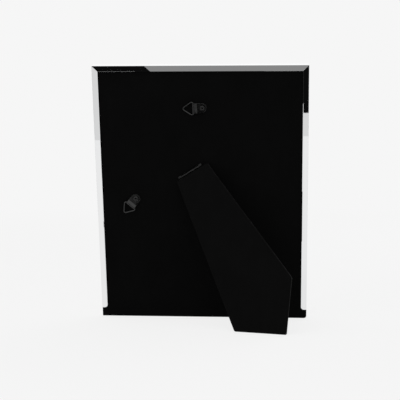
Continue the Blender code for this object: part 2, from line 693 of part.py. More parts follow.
def build_ring(name, swing, steel):
    """Triangular ring of wire, its bar on the swing axis and its point along X."""
    corners = [(0, -RING_HALF, RING_ROUND), (RING_HIGH, 0, RING_ROUND), (0, RING_HALF, RING_ROUND)]
    path = outline(corners)
    curve = bpy.data.curves.new(name, "CURVE")
    curve.dimensions = "3D"
    spline = curve.splines.new("POLY")
    spline.points.add(len(path) - 1)
    for point, (u, v) in zip(spline.points, path):
        point.co = (u, v, 0, 1)
    spline.use_cyclic_u = True
    curve.bevel_depth = WIRE
    curve.bevel_resolution = 2
    curve.materials.append(steel)
    made = bpy.data.objects.new(name, curve)
    made.parent = swing
    bpy.context.collection.objects.link(made)


def build_eyelet(name, spot, slide, steel):
    """Hollow rivet through strap, velvet and board, flanged at both ends."""
    flange_low = LEAVES_TOP + STRAP_SEAM
    flange_top = flange_low + EYELET_FLANGE_THICK
    back = CORE_FRONT - VELVET_BACK - STRAP_SEAM
    profile = [
        (EYELET_BORE, flange_top - EYELET_ROLL),
        (EYELET_BORE + EYELET_ROLL, flange_top),
        (EYELET_FLANGE - EYELET_ROLL, flange_top - EYELET_CROWN),
        (EYELET_FLANGE, flange_low + EYELET_CROWN),
        (EYELET_FLANGE, flange_low),
        (EYELET_RADIUS, flange_low),
        (EYELET_RADIUS, back),
        (EYELET_FLANGE, back),
        (EYELET_FLANGE - EYELET_ROLL, back - EYELET_ROLL),
        (EYELET_BORE, back - EYELET_ROLL),
    ]
    made = piece(name, spun(profile), slide, steel, smooth=True)
    made.location = (spot[0], VELVET_BACK, spot[1])
    made.rotation_euler = (-math.pi / 2, 0, 0)


def build_hanger(name, across_board, up_board, turn, slide, core, cover, steel):
    strap_frame = Matrix((
        (math.sin(turn), math.cos(turn), 0),
        (0, 0, 1),
        (math.cos(turn), -math.sin(turn), 0),
    ))
    place = (across_board, VELVET_BACK, up_board)
    strap_turn = empty(name + "_hanger_turn", slide, place, strap_frame.to_euler())
    build_strap(name + "_hanger_strap", strap_turn, steel)
    drop = math.asin((BAR_HIGH - WIRE - CLEAR) / RING_REACH)
    ring_swing = empty(name + "_ring_swing", strap_turn, (BAR_OFFSET, 0, BAR_HIGH), (0, drop, 0))
    build_ring(name + "_hanger_ring", ring_swing, steel)
    build_eyelet(name + "_hanger_eyelet", (across_board, up_board), slide, steel)
    through = VELVET_BACK - TURN_IN_FRONT + CUT_PAST
    for target in (core, cover):
        hole = rod(name + "_eyelet_cutter", strap_turn, EYELET_RADIUS + EYELET_PLAY, -through, CUT_PAST)
        boolean(target, hole)


def centre_footprint(lean):
    """Slide the whole object along Y until its box is centred on the origin."""
    bpy.context.view_layer.update()
    graph = bpy.context.evaluated_depsgraph_get()
    depths = []
    for thing in bpy.data.objects:
        if thing.type in {"MESH", "CURVE"} and not thing.hide_render:
            solid = thing.evaluated_get(graph)
            shape = solid.to_mesh()
            depths += [(thing.matrix_world @ vert.co).y for vert in shape.vertices]
            solid.to_mesh_clear()
    lean.location.y -= (min(depths) + max(depths)) / 2
    bpy.context.view_layer.update()


def main():
    clear_scene()
    chrome = material("polished_metal", (0.83, 0.84, 0.85), 0.06, metallic=1.0)
    glass = material("clear_glass", (0.93, 0.96, 0.95), 0.02, alpha=0.25)
    paper = material("print_paper", (0.9, 0.9, 0.88), 0.6)
    card = material("grey_card", (0.5, 0.48, 0.45), 0.85)
    board = material("brown_hardboard", (0.22, 0.14, 0.08), 0.8)
    velvet = material("black_velvet", (0.012, 0.012, 0.013), 0.95)
    hinge_steel = material("blackened_steel", (0.06, 0.06, 0.06), 0.35, metallic=1.0)
    hanger_steel = material("dark_plated_steel", (0.2, 0.2, 0.2), 0.35, metallic=1.0)

    ground_drop = GROUND_EDGE * math.sin(LEAN_TALL)
    lean = empty("lean", None, (0, 0, ground_drop), (-LEAN_TALL, 0, 0))
    build_rails(lean, chrome)
    build_filling(lean, glass, paper, card)

    slide = empty("board_slide", lean, (0, 0, 0))
    hinge_frame = Matrix((
        (-math.cos(HINGE_SLOPE), math.sin(HINGE_SLOPE), 0),
        (0, 0, 1),
        (math.sin(HINGE_SLOPE), math.cos(HINGE_SLOPE), 0),
    ))
    hinge_place = (HINGE_ALONG_X, VELVET_BACK + AXIS_HIGH, HINGE_HIGH)
    hinge_line = empty("hinge_line", slide, hinge_place, hinge_frame.to_euler())
    strut_turn = empty("strut_turn", hinge_line, (0, 0, 0), (-OPEN_ANGLE, 0, 0))

    core, cover = build_board(slide, hinge_line, board, velvet)
    build_board_leaf(hinge_line, hinge_steel)
    build_pin(hinge_line, hinge_steel)
    build_strut_leaf(strut_turn, hinge_steel)
    build_rivets(hinge_line, strut_turn, hinge_steel)
    build_strut(strut_turn, board, velvet)
    build_hanger("top", -TOP_HANGER_OFF, FRAME_HEIGHT - TOP_HANGER_DOWN, TOP_HANGER_TURN,
                 slide, core, cover, hanger_steel)
    side_across = FRAME_WIDTH / 2 - SIDE_HANGER_IN
    side_up = FRAME_HEIGHT / 2 - SIDE_HANGER_LOW
    build_hanger("side", side_across, side_up, SIDE_HANGER_TURN,
                 slide, core, cover, hanger_steel)
    centre_footprint(lean)


main()
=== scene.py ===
# %% [markdown]
# # A metal photo frame, seen from behind
#
# The frame stands on its easel strut with its velvet back to the camera. The
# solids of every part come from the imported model, which is loaded first and never
# moved. This lesson dresses them: it sets up the studio, gives each part a finish
# of its own, and models again the parts whose look needs more than the plain solid
# has, such as the polished rails, the velvet covers and the wire rings.

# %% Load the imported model
import json
import math

import bmesh
import bpy
from mathutils import Matrix, Vector


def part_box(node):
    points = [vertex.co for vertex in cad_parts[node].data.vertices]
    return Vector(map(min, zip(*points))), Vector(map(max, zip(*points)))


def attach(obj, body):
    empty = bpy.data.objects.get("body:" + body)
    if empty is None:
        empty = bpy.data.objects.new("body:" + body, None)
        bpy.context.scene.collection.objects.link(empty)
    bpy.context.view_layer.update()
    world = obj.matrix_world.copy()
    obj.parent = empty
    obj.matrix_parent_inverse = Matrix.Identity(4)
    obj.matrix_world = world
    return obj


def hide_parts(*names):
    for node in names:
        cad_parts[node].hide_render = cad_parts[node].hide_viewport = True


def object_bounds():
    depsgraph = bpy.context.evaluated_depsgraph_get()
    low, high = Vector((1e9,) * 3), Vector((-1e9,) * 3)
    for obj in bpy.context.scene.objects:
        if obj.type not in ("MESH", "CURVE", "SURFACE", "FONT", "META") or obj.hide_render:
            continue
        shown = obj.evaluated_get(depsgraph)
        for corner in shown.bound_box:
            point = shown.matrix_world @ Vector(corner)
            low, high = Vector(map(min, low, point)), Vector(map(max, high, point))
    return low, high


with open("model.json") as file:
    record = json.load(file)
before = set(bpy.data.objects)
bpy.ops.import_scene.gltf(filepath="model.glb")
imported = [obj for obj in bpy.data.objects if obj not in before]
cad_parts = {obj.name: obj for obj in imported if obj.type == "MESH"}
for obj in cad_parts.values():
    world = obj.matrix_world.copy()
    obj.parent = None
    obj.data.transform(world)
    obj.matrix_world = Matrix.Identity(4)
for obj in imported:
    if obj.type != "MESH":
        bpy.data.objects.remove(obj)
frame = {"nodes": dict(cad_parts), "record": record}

MM = 0.001
nodes = frame["nodes"]
cad_low, cad_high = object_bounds()
print("parts in the model:", len(nodes))
print("box of the model in mm:", [round(x / MM, 1) for x in (*cad_low, *cad_high)])

# %% [markdown]
# ## Where things are
#
# The real frame is made upright and then leans back as a whole, so it is easiest to
# model each piece upright too, and to lean it as the last step. One matrix does
# that. X runs across the frame, Y through its depth with 0 at its rearmost plane,
# and Z up from its underside. Two more matrices stand on the easel hinge: one for
# the part that stays on the board and one for the opened strut.

# %% The leaning plane of the frame
LEAN = math.radians(12.7)
LEAN_AT = (0.0, -0.040658, -0.001185)
FRAME_WIDTH = 206.4 * MM
FRAME_HEIGHT = 257.2 * MM
FRAME_FRONT = -10.038 * MM
SHEET = 1.0 * MM
GROUND_EDGE = -5.388 * MM
VELVET_BACK = -1.588 * MM

leaning = Matrix.Translation(LEAN_AT) @ Matrix.Rotation(-LEAN, 4, "X")

HINGE_SLOPE = math.radians(32.3)
OPEN_ANGLE = math.radians(28.2)
AXIS_HIGH = 2.03 * MM
HINGE_POINT = Vector((22.0 * MM, VELVET_BACK + AXIS_HIGH, FRAME_HEIGHT / 2 + 17.9 * MM))

hinge_turn = Matrix((
    (-math.cos(HINGE_SLOPE), math.sin(HINGE_SLOPE), 0),
    (0, 0, 1),
    (math.sin(HINGE_SLOPE), math.cos(HINGE_SLOPE), 0),
)).to_4x4()
on_hinge = leaning @ Matrix.Translation(HINGE_POINT) @ hinge_turn
on_strut = on_hinge @ Matrix.Rotation(-OPEN_ANGLE, 4, "X")

pin_middle = sum(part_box("hinge_pin"), Vector()) / 2
off_line = (on_hinge.inverted() @ pin_middle).yz.length / MM
print("pin's middle is off the hinge line by", round(off_line, 3), "mm")

# %% [markdown]
# ## Camera
#
# The photograph was taken level with the frame's upper part, a little to its left
# and about a metre away, with a long lens. A long lens keeps the frame's upright
# sides nearly parallel, as they are in the picture.

# %% Camera
CAMERA_PLACE = Vector((-0.0783, 1.0319, 0.1893))
CAMERA_AIM = Vector((0.0762, -0.9949, -0.0654))
LENS = 96.57

camera_data = bpy.data.cameras.new("camera")
camera_data.lens = LENS
camera_data.sensor_width = 36
camera = bpy.data.objects.new("camera", camera_data)
bpy.context.collection.objects.link(camera)
camera.location = CAMERA_PLACE
camera.rotation_euler = CAMERA_AIM.to_track_quat("-Z", "Y").to_euler()
bpy.context.scene.camera = camera
frame_middle = (cad_low + cad_high) / 2
print("camera distance in mm:", round((CAMERA_PLACE - frame_middle).length / MM))

# %% [markdown]
# ## Small helpers for materials
#
# A material here is a short chain of nodes. The helpers below start a material, add
# a node, join two sockets, combine two values, mix two shaders, and make a colour
# ramp, a noise or a bump, so that each finish further down reads like a recipe.

# %% Nodes
def plain_node(material, kind, operation=None):
    """A node that needs no values, or a math node set to its operation."""
    node = material.node_tree.nodes.new("ShaderNode" + kind)
    if operation:
        node.operation = operation
    return node


def new_material(name):
    made = bpy.data.materials.new(name)
    made.use_nodes = True
    shader = made.node_tree.nodes["Principled BSDF"]
    return made, shader


def add_node(material, kind, **values):
    """A node of that kind, with its sockets set by name."""
    node = plain_node(material, kind)
    for name, value in values.items():
        node.inputs[name.replace("_", " ")].default_value = value
    return node


def join_up(material, source, target):
    material.node_tree.links.new(source, target)


def combine(material, operation, first, second):
    """Math node fed by a socket and by another socket or a number."""
    node = plain_node(material, "Math", operation)
    join_up(material, first, node.inputs[0])
    if isinstance(second, (int, float)):
        node.inputs[1].default_value = second
    else:
        join_up(material, second, node.inputs[1])
    return node.outputs[0]


def end_with_mix(material, share, first, second, output="Material Output"):
    """Two shaders mixed, more of the second where share is high, and shown."""
    node = plain_node(material, "MixShader")
    join_up(material, share, node.inputs["Fac"])
    join_up(material, first.outputs[0], node.inputs[1])
    join_up(material, second.outputs[0], node.inputs[2])
    join_up(material, node.outputs[0], material.node_tree.nodes[output].inputs["Surface"])


# %% Ramps, patterns and bumps
def ramp(material, source, stops):
    """A colour ramp fed by source; stops are (position, grey or colour)."""
    node = plain_node(material, "ValToRGB")
    elements = node.color_ramp.elements
    while len(elements) < len(stops):
        elements.new(0.5)
    for element, (position, colour) in zip(elements, stops):
        element.position = position
        if isinstance(colour, (int, float)):
            colour = (colour, colour, colour)
        element.color = (*colour, 1)
    join_up(material, source, node.inputs["Fac"])
    return node.outputs["Color"]


def object_place(material, scale=(1, 1, 1), turn=(0, 0, 0)):
    """Object coordinates through a Mapping node."""
    place = plain_node(material, "TexCoord")
    mapping = add_node(material, "Mapping", Scale=scale, Rotation=turn)
    join_up(material, place.outputs["Object"], mapping.inputs["Vector"])
    return mapping.outputs["Vector"]


def noise(material, vector, scale, detail=4.0, roughness=0.5):
    node = add_node(material, "TexNoise", Scale=scale, Detail=detail, Roughness=roughness)
    join_up(material, vector, node.inputs["Vector"])
    return node.outputs["Fac"]


def bump(material, height, strength, distance, normal=None):
    node = add_node(material, "Bump", Strength=strength, Distance=distance)
    join_up(material, height, node.inputs["Height"])
    if normal:
        join_up(material, normal, node.inputs["Normal"])
    return node.outputs["Normal"]


def describe(material):
    print(material.name, "is made of", len(material.node_tree.nodes), "nodes")


# %% [markdown]
# ## Studio
#
# Polished metal is only as good as what it reflects. The floor and the world are
# pale, so that the background of the picture is one even light grey, and cards that
# only reflections can see stand in for the dark and grey things behind the
# photographer. The metal's rear lips are nearly flat mirrors, and all of them look
# down at the floor behind the frame, so eight cards lie there or just above it.
# Where each one lies was worked out by following a ray from the camera to a lip and
# on to the floor. Three more stand at the front and the sides, shaded from dark to
# light, because a mirror that sees nothing but white looks like white paint, and a
# fourth one, bright and further off, is what the top rail's upper wall reflects.

# %% World
BACKDROP_GREY = 0.921
BACKDROP_COLOUR = (BACKDROP_GREY, BACKDROP_GREY, BACKDROP_GREY, 1)
WORLD_GLOW = 0.62

world = bpy.data.worlds.new("studio")
world.use_nodes = True
bpy.context.scene.world = world
background = world.node_tree.nodes["Background"]
background.inputs["Color"].default_value = (1, 1, 1, 1)
background.inputs["Strength"].default_value = WORLD_GLOW
seen = add_node(world, "Background", Color=BACKDROP_COLOUR, Strength=1.0)
path = plain_node(world, "LightPath")
mirrored = combine(world, "MAXIMUM", path.outputs["Is Glossy Ray"], path.outputs["Is Transmission Ray"])
shown = combine(world, "MAXIMUM", path.outputs["Is Camera Ray"], mirrored)
end_with_mix(world, shown, background, seen, "World Output")
print("backdrop grey:", BACKDROP_GREY, "and world glow:", WORLD_GLOW)


# %% Lamps
def soft_lamp(name, place, aim, size, watts):
    """A large square lamp that reflections don't show."""
    data = bpy.data.lights.new(name, "AREA")
    data.shape = "SQUARE"
    data.size = size
    data.energy = watts
    lamp = bpy.data.objects.new(name, data)
    bpy.context.collection.objects.link(lamp)
    lamp.location = place
    lamp.rotation_euler = (Vector(aim) - Vector(place)).to_track_quat("-Z", "Y").to_euler()
    lamp.visible_glossy = False


soft_lamp("lamp_above", (0.1, 0.35, 1.1), (0, 0, 0.1), 0.9, 4.0)
soft_lamp("lamp_behind_camera", (0.7, 1.1, 0.7), (0, 0, 0.12), 0.7, 3.0)
soft_lamp("lamp_front", (-0.6, -1.0, 0.8), (0, 0, 0.12), 0.8, 4.0)

# %% Floor
FLOOR_SIZE = 12.0
FADE_NEAR = 0.25
FADE_FAR = 1.6
NEAR_SHARE = 0.88    # of plain backdrop grey at FADE_NEAR metres, rising to all of it at FADE_FAR

bpy.ops.mesh.primitive_plane_add(size=FLOOR_SIZE, location=(0, 0, 0))
floor = bpy.context.active_object
floor.name = "floor"

floor_paint, floor_shader = new_material("floor_paint")
floor_shader.inputs["Base Color"].default_value = (0.86, 0.86, 0.86, 1)
floor_shader.inputs["Roughness"].default_value = 0.9
floor_shader.inputs["Specular IOR Level"].default_value = 0.0
glow = add_node(floor_paint, "Emission", Color=BACKDROP_COLOUR, Strength=1.0)
spot = plain_node(floor_paint, "TexCoord")
reach = plain_node(floor_paint, "VectorMath", "LENGTH")
join_up(floor_paint, spot.outputs["Object"], reach.inputs[0])
fade = add_node(floor_paint, "MapRange", From_Min=FADE_NEAR, From_Max=FADE_FAR, To_Min=NEAR_SHARE)
join_up(floor_paint, reach.outputs["Value"], fade.inputs["Value"])
path = plain_node(floor_paint, "LightPath")
shown = combine(floor_paint, "MAXIMUM", path.outputs["Is Camera Ray"], path.outputs["Is Glossy Ray"])
share = combine(floor_paint, "MULTIPLY", shown, fade.outputs["Result"])
end_with_mix(floor_paint, share, floor_shader, glow)
floor.data.materials.append(floor_paint)
describe(floor_paint)

# %% A card that only reflections see
CARD_HIGH = 1.0 * MM


def card(name, corners, grey, fade=None):
    """A flat card with its corners (x, y, z) in metres, seen by glossy rays alone.

    With fade, (low z, high z, high grey), it runs from grey to a lighter grey upwards.
    """
    mesh = bpy.data.meshes.new(name)
    mesh.from_pydata(corners, [], [range(len(corners))])
    made = bpy.data.objects.new(name, mesh)
    bpy.context.collection.objects.link(made)
    paint = bpy.data.materials.new(name + "_paint")
    paint.use_nodes = True
    paint.node_tree.nodes.clear()
    shine = add_node(paint, "Emission", Color=(grey, grey, grey, 1), Strength=1.0)
    if fade:
        low, high, high_grey = fade
        spot = plain_node(paint, "TexCoord")
        split = plain_node(paint, "SeparateXYZ")
        rise = add_node(paint, "MapRange", From_Min=low, From_Max=high)
        join_up(paint, spot.outputs["Object"], split.inputs[0])
        join_up(paint, split.outputs["Z"], rise.inputs["Value"])
        rising_grey = ramp(paint, rise.outputs["Result"], [(0.0, grey), (1.0, high_grey)])
        join_up(paint, rising_grey, shine.inputs["Color"])
    end = plain_node(paint, "OutputMaterial")
    join_up(paint, shine.outputs[0], end.inputs["Surface"])
    mesh.materials.append(paint)
    for ray in ("camera", "diffuse", "transmission", "volume_scatter", "shadow"):
        setattr(made, "visible_" + ray, False)


def floor_card(name, grey, *corners, high=CARD_HIGH):
    """A level card, its corners given as (x, y)."""
    card(name, [(x, y, high) for x, y in corners], grey)


def floor_strip(name, grey, left, right, start, stop, high=CARD_HIGH):
    """A level card with straight sides, from start to stop along Y."""
    floor_card(name, grey, (left, start), (right, start), (right, stop), (left, stop), high=high)


# %% Cards on the floor
BLACK = 0.004
DARK = 0.02
GREY = 0.27
PALE = 0.75
SIDES_REACH = 0.642    # the side lips reflect the floor up to here, the top lip beyond it
TOP_REACH = 0.90
TOP_HALF = 0.60
TOP_SPLIT_NEAR = (0.1286, SIDES_REACH)
TOP_SPLIT_FAR = (0.2548, TOP_REACH)
MIDDLE_RIGHT = -0.055
RIGHT_REACH = -0.25
RIGHT_BLACK_FROM = 0.4535
RIGHT_PALE_FROM = 0.378
LEFT_PALE = (0.132, 0.367)
LEFT_PALE_TURN = (0.140, 0.442)
LEFT_REACH = 0.30

floor_strip("card_black_right", BLACK, RIGHT_REACH, MIDDLE_RIGHT, RIGHT_BLACK_FROM, SIDES_REACH)
floor_strip("card_pale_right", PALE, RIGHT_REACH, MIDDLE_RIGHT, RIGHT_PALE_FROM, RIGHT_BLACK_FROM)
floor_card("card_dark_middle", DARK, (MIDDLE_RIGHT, 0.10), (0.095, 0.10), (0.110, 0.20), (0.128, 0.33),
           LEFT_PALE_TURN, (LEFT_PALE_TURN[0], SIDES_REACH), (MIDDLE_RIGHT, SIDES_REACH))
floor_card("card_pale_left", PALE, LEFT_PALE, (LEFT_REACH, LEFT_PALE[1]), (LEFT_REACH, SIDES_REACH),
           (LEFT_PALE_TURN[0], SIDES_REACH), LEFT_PALE_TURN)
floor_strip("card_dark_far", DARK, 0.443, 0.95, 0.25, SIDES_REACH)
floor_card("card_black_top", BLACK, TOP_SPLIT_NEAR, (TOP_HALF, SIDES_REACH), (TOP_HALF, TOP_REACH),
           TOP_SPLIT_FAR)
floor_card("card_grey_top", GREY, (-TOP_HALF, SIDES_REACH), TOP_SPLIT_NEAR, TOP_SPLIT_FAR,
           (-TOP_HALF, TOP_REACH))
floor_strip("card_dark_raised", 0.01, -0.30, -0.18, 0.13, 0.26, high=0.113)


# %% Cards that stand
def standing_card(name, grey, y, half, low, high, fade=None):
    """A card that stands across the studio."""
    card(name, [(-half, y, low), (half, y, low), (half, y, high), (-half, y, high)], grey, fade)


SIDE_AWAY = 0.55
SIDE_FROM = -0.90
SIDE_TO = 0.12
SIDE_HIGH = 0.60

standing_card("card_bright_front", 1.06, y=-1.5, half=1.5, low=0.6, high=1.6)
standing_card("card_front", 0.10, y=-0.6, half=0.6, low=0.0, high=0.455, fade=(0.33, 0.455, 0.85))
for side in (-1, 1):
    away = side * SIDE_AWAY
    card("card_side", [(away, SIDE_FROM, 0.0), (away, SIDE_TO, 0.0), (away, SIDE_TO, SIDE_HIGH),
                       (away, SIDE_FROM, SIDE_HIGH)], 0.08, fade=(0.0, 0.36, 0.90))

# %% [markdown]
# ## Finishes
#
# Each finish is named for what it covers on the real frame. None of them is one flat
# colour, because polish, pile, grain and wear all vary over a surface, and that small
# variation is what tells the eye which material it sees. Every pattern is procedural
# and lies on Object coordinates, which are plain metres here, so a noise of scale 40
# has patches of about 25 mm.

# %% Helpers for finishes
def mixed(material, share, low, high):
    """A colour between two greys or colours, by a share from 0 to 1."""
    return ramp(material, share, [(0.0, low), (1.0, high)])


def edge_wear(material, radius):
    """Share from 0 on a flat face to 1 on an edge, from the Bevel node's rounded normal."""
    rounded = add_node(material, "Bevel", Radius=radius)
    plain = plain_node(material, "NewGeometry")
    dot = plain_node(material, "VectorMath", "DOT_PRODUCT")
    join_up(material, rounded.outputs["Normal"], dot.inputs[0])
    join_up(material, plain.outputs["Normal"], dot.inputs[1])
    return ramp(material, dot.outputs["Value"], [(0.86, 1.0), (0.995, 0.0)])


# %% [markdown]
# ### Polished metal
#
# The rails are steel with a nickel plate that is buffed on a cloth wheel. It is
# almost a mirror, and three things keep it from being a perfect one: thin sheet is
# never quite flat, the wheel leaves hairlines, and fingers leave dull patches. So the
# noise goes into roughness and bump, and hardly at all into colour.

# %% Polished metal
polished_metal, shader = new_material("polished_metal")
shader.inputs["Metallic"].default_value = 1.0
place = object_place(polished_metal)
tone = noise(polished_metal, place, 9, detail=3)
nickel = ramp(polished_metal, tone, [(0.3, (0.868, 0.874, 0.882)), (0.7, (0.890, 0.892, 0.891))])
join_up(polished_metal, nickel, shader.inputs["Base Color"])
smudge = noise(polished_metal, place, 42, detail=6, roughness=0.62)
join_up(polished_metal, ramp(polished_metal, smudge, [(0.40, 0.006), (0.60, 0.013), (0.80, 0.045)]),
        shader.inputs["Roughness"])
across = noise(polished_metal, object_place(polished_metal, scale=(20, 1600, 1600)), 1.0, detail=2)
along = noise(polished_metal, object_place(polished_metal, scale=(1600, 1600, 20)), 1.0, detail=2)
hairline = combine(polished_metal, "MAXIMUM", ramp(polished_metal, across, [(0.66, 0.0), (0.72, 1.0)]),
                   ramp(polished_metal, along, [(0.66, 0.0), (0.72, 1.0)]))
waviness = noise(polished_metal, place, 16, detail=1)
wavy = bump(polished_metal, waviness, 0.10, 0.02 * MM)
join_up(polished_metal, bump(polished_metal, hairline, 0.06, 0.004 * MM, wavy), shader.inputs["Normal"])
describe(polished_metal)

# %% [markdown]
# ### Velvet
#
# Velvet is black because its pile swallows light. What little comes back is sheen
# from the sides of the hairs, so the base colour is almost nothing, the sheen does the
# work, and a slow noise stands for patches where the nap was stroked another way. The
# strut's piece is a copy with a lighter base colour and more sheen, which is painted
# light: its face is turned up towards the lamp above and catches more of it.

# %% Velvet
def make_velvet(name, dark, light, sheen):
    """Black pile from one grey to another, with that much sheen on average."""
    velvet, shader = new_material(name)
    place = object_place(velvet)
    nap = noise(velvet, place, 24, detail=4, roughness=0.6)
    stroke = noise(velvet, object_place(velvet, scale=(1, 1, 0.2)), 130, detail=3)
    pile = noise(velvet, place, 4200, detail=2, roughness=0.7)
    patches = combine(velvet, "MULTIPLY_ADD", stroke, 0.35)
    join_up(velvet, combine(velvet, "MULTIPLY", nap, 0.65), patches.node.inputs[2])
    shade = combine(velvet, "MULTIPLY_ADD", pile, 0.5)
    join_up(velvet, combine(velvet, "MULTIPLY", patches, 0.5), shade.node.inputs[2])
    join_up(velvet, ramp(velvet, shade, [(0.32, dark), (0.68, light)]), shader.inputs["Base Color"])
    hairs = ramp(velvet, patches, [(0.35, sheen * 0.5), (0.65, sheen * 1.5)])
    join_up(velvet, hairs, shader.inputs["Sheen Weight"])
    shader.inputs["Sheen Roughness"].default_value = 0.35
    shader.inputs["Roughness"].default_value = 1.0
    shader.inputs["Specular IOR Level"].default_value = 0.05
    rough_nap = bump(velvet, patches, 0.25, 0.5 * MM)
    join_up(velvet, bump(velvet, pile, 0.5, 0.12 * MM, rough_nap), shader.inputs["Normal"])
    describe(velvet)
    return velvet


black_velvet = make_velvet("black_velvet", 0.0015, 0.0028, 0.016)
# painted light: the strut's copy is lighter, for the lamp light its upturned face catches
strut_velvet = make_velvet("black_velvet_painted_lighter_on_strut", 0.0020, 0.0036, 0.028)

# %% [markdown]
# ### Black steel of the hinge
#
# The hinge is black too, and in the photograph only a thin line along its barrel
# shines. Blackened steel is a dark metal with a dull grain, worn a little brighter
# where the edges rub.

# %% Black steel
blackened_steel, shader = new_material("blackened_steel")
shader.inputs["Metallic"].default_value = 1.0
place = object_place(blackened_steel)
grain = noise(blackened_steel, place, 900, detail=5, roughness=0.65)
cloud = noise(blackened_steel, place, 120, detail=3)
worn = combine(blackened_steel, "MULTIPLY", edge_wear(blackened_steel, 0.12 * MM), cloud)
plain = mixed(blackened_steel, cloud, 0.018, 0.038)
shade = combine(blackened_steel, "MULTIPLY_ADD", worn, 0.08)
join_up(blackened_steel, plain, shade.node.inputs[2])
join_up(blackened_steel, shade, shader.inputs["Base Color"])
dull = ramp(blackened_steel, grain, [(0.3, 0.20), (0.7, 0.36)])
join_up(blackened_steel, dull, shader.inputs["Roughness"])
join_up(blackened_steel, bump(blackened_steel, grain, 0.12, 0.02 * MM), shader.inputs["Normal"])
describe(blackened_steel)

# %% [markdown]
# ### Dark plating of the hangers
#
# The hangers are small pressings with a gunmetal plate. They are tumbled together in
# a drum, which leaves tiny dents and rubs the plate thin along the edges.

# %% Dark plating
dark_steel, shader = new_material("dark_plated_steel")
shader.inputs["Metallic"].default_value = 1.0
place = object_place(dark_steel)
dents = noise(dark_steel, place, 1500, detail=4, roughness=0.6)
cloud = noise(dark_steel, place, 260, detail=4)
worn = combine(dark_steel, "MULTIPLY", edge_wear(dark_steel, 0.15 * MM), dents)
plain = mixed(dark_steel, cloud, 0.034, 0.060)
shade = combine(dark_steel, "MULTIPLY_ADD", worn, 0.07)
join_up(dark_steel, plain, shade.node.inputs[2])
join_up(dark_steel, shade, shader.inputs["Base Color"])
join_up(dark_steel, ramp(dark_steel, cloud, [(0.3, 0.13), (0.7, 0.25)]), shader.inputs["Roughness"])
join_up(dark_steel, bump(dark_steel, dents, 0.15, 0.02 * MM), shader.inputs["Normal"])
describe(dark_steel)

# %% [markdown]
# ### Glass, print, card and hardboard
#
# These four lie inside the frame. Glass lets light rays through unbent for the paper
# behind it, which a path tracer would otherwise leave black, and has faint smears.
# The print is bare photographic paper with a slight gloss. The card is made of
# short grey fibres, and the hardboard of long brown ones pressed flat.

# %% Glass
clear_glass, shader = new_material("clear_glass")
shader.inputs["Base Color"].default_value = (0.965, 0.985, 0.975, 1)
shader.inputs["Transmission Weight"].default_value = 1.0
shader.inputs["IOR"].default_value = 1.5
place = object_place(clear_glass)
wiped = object_place(clear_glass, scale=(1, 1, 0.4), turn=(0, 0.6, 0))
smear = noise(clear_glass, wiped, 30, detail=6, roughness=0.65)
smeared = ramp(clear_glass, smear, [(0.45, 0.0), (0.62, 0.012), (0.82, 0.05)])
join_up(clear_glass, smeared, shader.inputs["Roughness"])
sway = noise(clear_glass, place, 12, detail=1)
join_up(clear_glass, bump(clear_glass, sway, 0.05, 0.02 * MM), shader.inputs["Normal"])
clear = add_node(clear_glass, "BsdfTransparent", Color=(0.93, 0.96, 0.945, 1))
path = plain_node(clear_glass, "LightPath")
passes = combine(clear_glass, "MAXIMUM", path.outputs["Is Shadow Ray"], path.outputs["Is Diffuse Ray"])
end_with_mix(clear_glass, passes, shader, clear)
describe(clear_glass)

# %% Paper of the print
print_paper, shader = new_material("print_paper")
place = object_place(print_paper)
fibre = noise(print_paper, place, 1800, detail=5, roughness=0.7)
cast = noise(print_paper, place, 14, detail=2)
off_white = ramp(print_paper, cast, [(0.3, (0.865, 0.862, 0.845)), (0.7, (0.895, 0.893, 0.880))])
join_up(print_paper, off_white, shader.inputs["Base Color"])
join_up(print_paper, ramp(print_paper, fibre, [(0.3, 0.32), (0.7, 0.44)]), shader.inputs["Roughness"])
join_up(print_paper, bump(print_paper, fibre, 0.12, 0.02 * MM), shader.inputs["Normal"])
describe(print_paper)

# %% Grey card
grey_card, shader = new_material("grey_card")
place = object_place(grey_card)
fibre = noise(grey_card, place, 2600, detail=6, roughness=0.75)
speck = add_node(grey_card, "TexVoronoi", Scale=700.0)
join_up(grey_card, place, speck.inputs["Vector"])
dark_speck = ramp(grey_card, speck.outputs["Distance"], [(0.08, 0.55), (0.20, 1.0)])
pulp = ramp(grey_card, fibre, [(0.3, (0.39, 0.375, 0.35)), (0.7, (0.53, 0.51, 0.48))])
speckled = plain_node(grey_card, "VectorMath", "MULTIPLY")
join_up(grey_card, pulp, speckled.inputs[0])
join_up(grey_card, dark_speck, speckled.inputs[1])
join_up(grey_card, speckled.outputs[0], shader.inputs["Base Color"])
shader.inputs["Roughness"].default_value = 0.92
join_up(grey_card, bump(grey_card, fibre, 0.35, 0.05 * MM), shader.inputs["Normal"])
describe(grey_card)

# %% Hardboard
hardboard, shader = new_material("brown_hardboard")
threads = []
for turn in (0.3, 1.4, 2.4):
    stretched = object_place(hardboard, scale=(2200, 2200, 260), turn=(0, turn, 0))
    threads.append(noise(hardboard, stretched, 1.0, detail=3, roughness=0.6))
felt = combine(hardboard, "MAXIMUM", combine(hardboard, "MAXIMUM", threads[0], threads[1]), threads[2])
browns = [(0.45, (0.13, 0.078, 0.042)), (0.60, (0.22, 0.138, 0.078)), (0.78, (0.33, 0.225, 0.14))]
join_up(hardboard, ramp(hardboard, felt, browns), shader.inputs["Base Color"])
join_up(hardboard, ramp(hardboard, felt, [(0.45, 0.62), (0.78, 0.85)]), shader.inputs["Roughness"])
join_up(hardboard, bump(hardboard, felt, 0.4, 0.08 * MM), shader.inputs["Normal"])
describe(hardboard)

# %% [markdown]
# ## Helpers for modelling
#
# In edit mode an operator acts on whatever is selected. Working by hand you click on
# an edge; a script says where the edge is. The helper `pick` selects by place, and
# the others start a piece, cut and bevel it, put its finished mesh where it belongs
# on the leaning frame, and hand it to the body that it moves with.

# %% Start a piece and select on it
def deselect():
    if bpy.context.object and bpy.context.object.mode != "OBJECT":
        bpy.ops.object.mode_set(mode="OBJECT")
    bpy.ops.object.select_all(action="DESELECT")


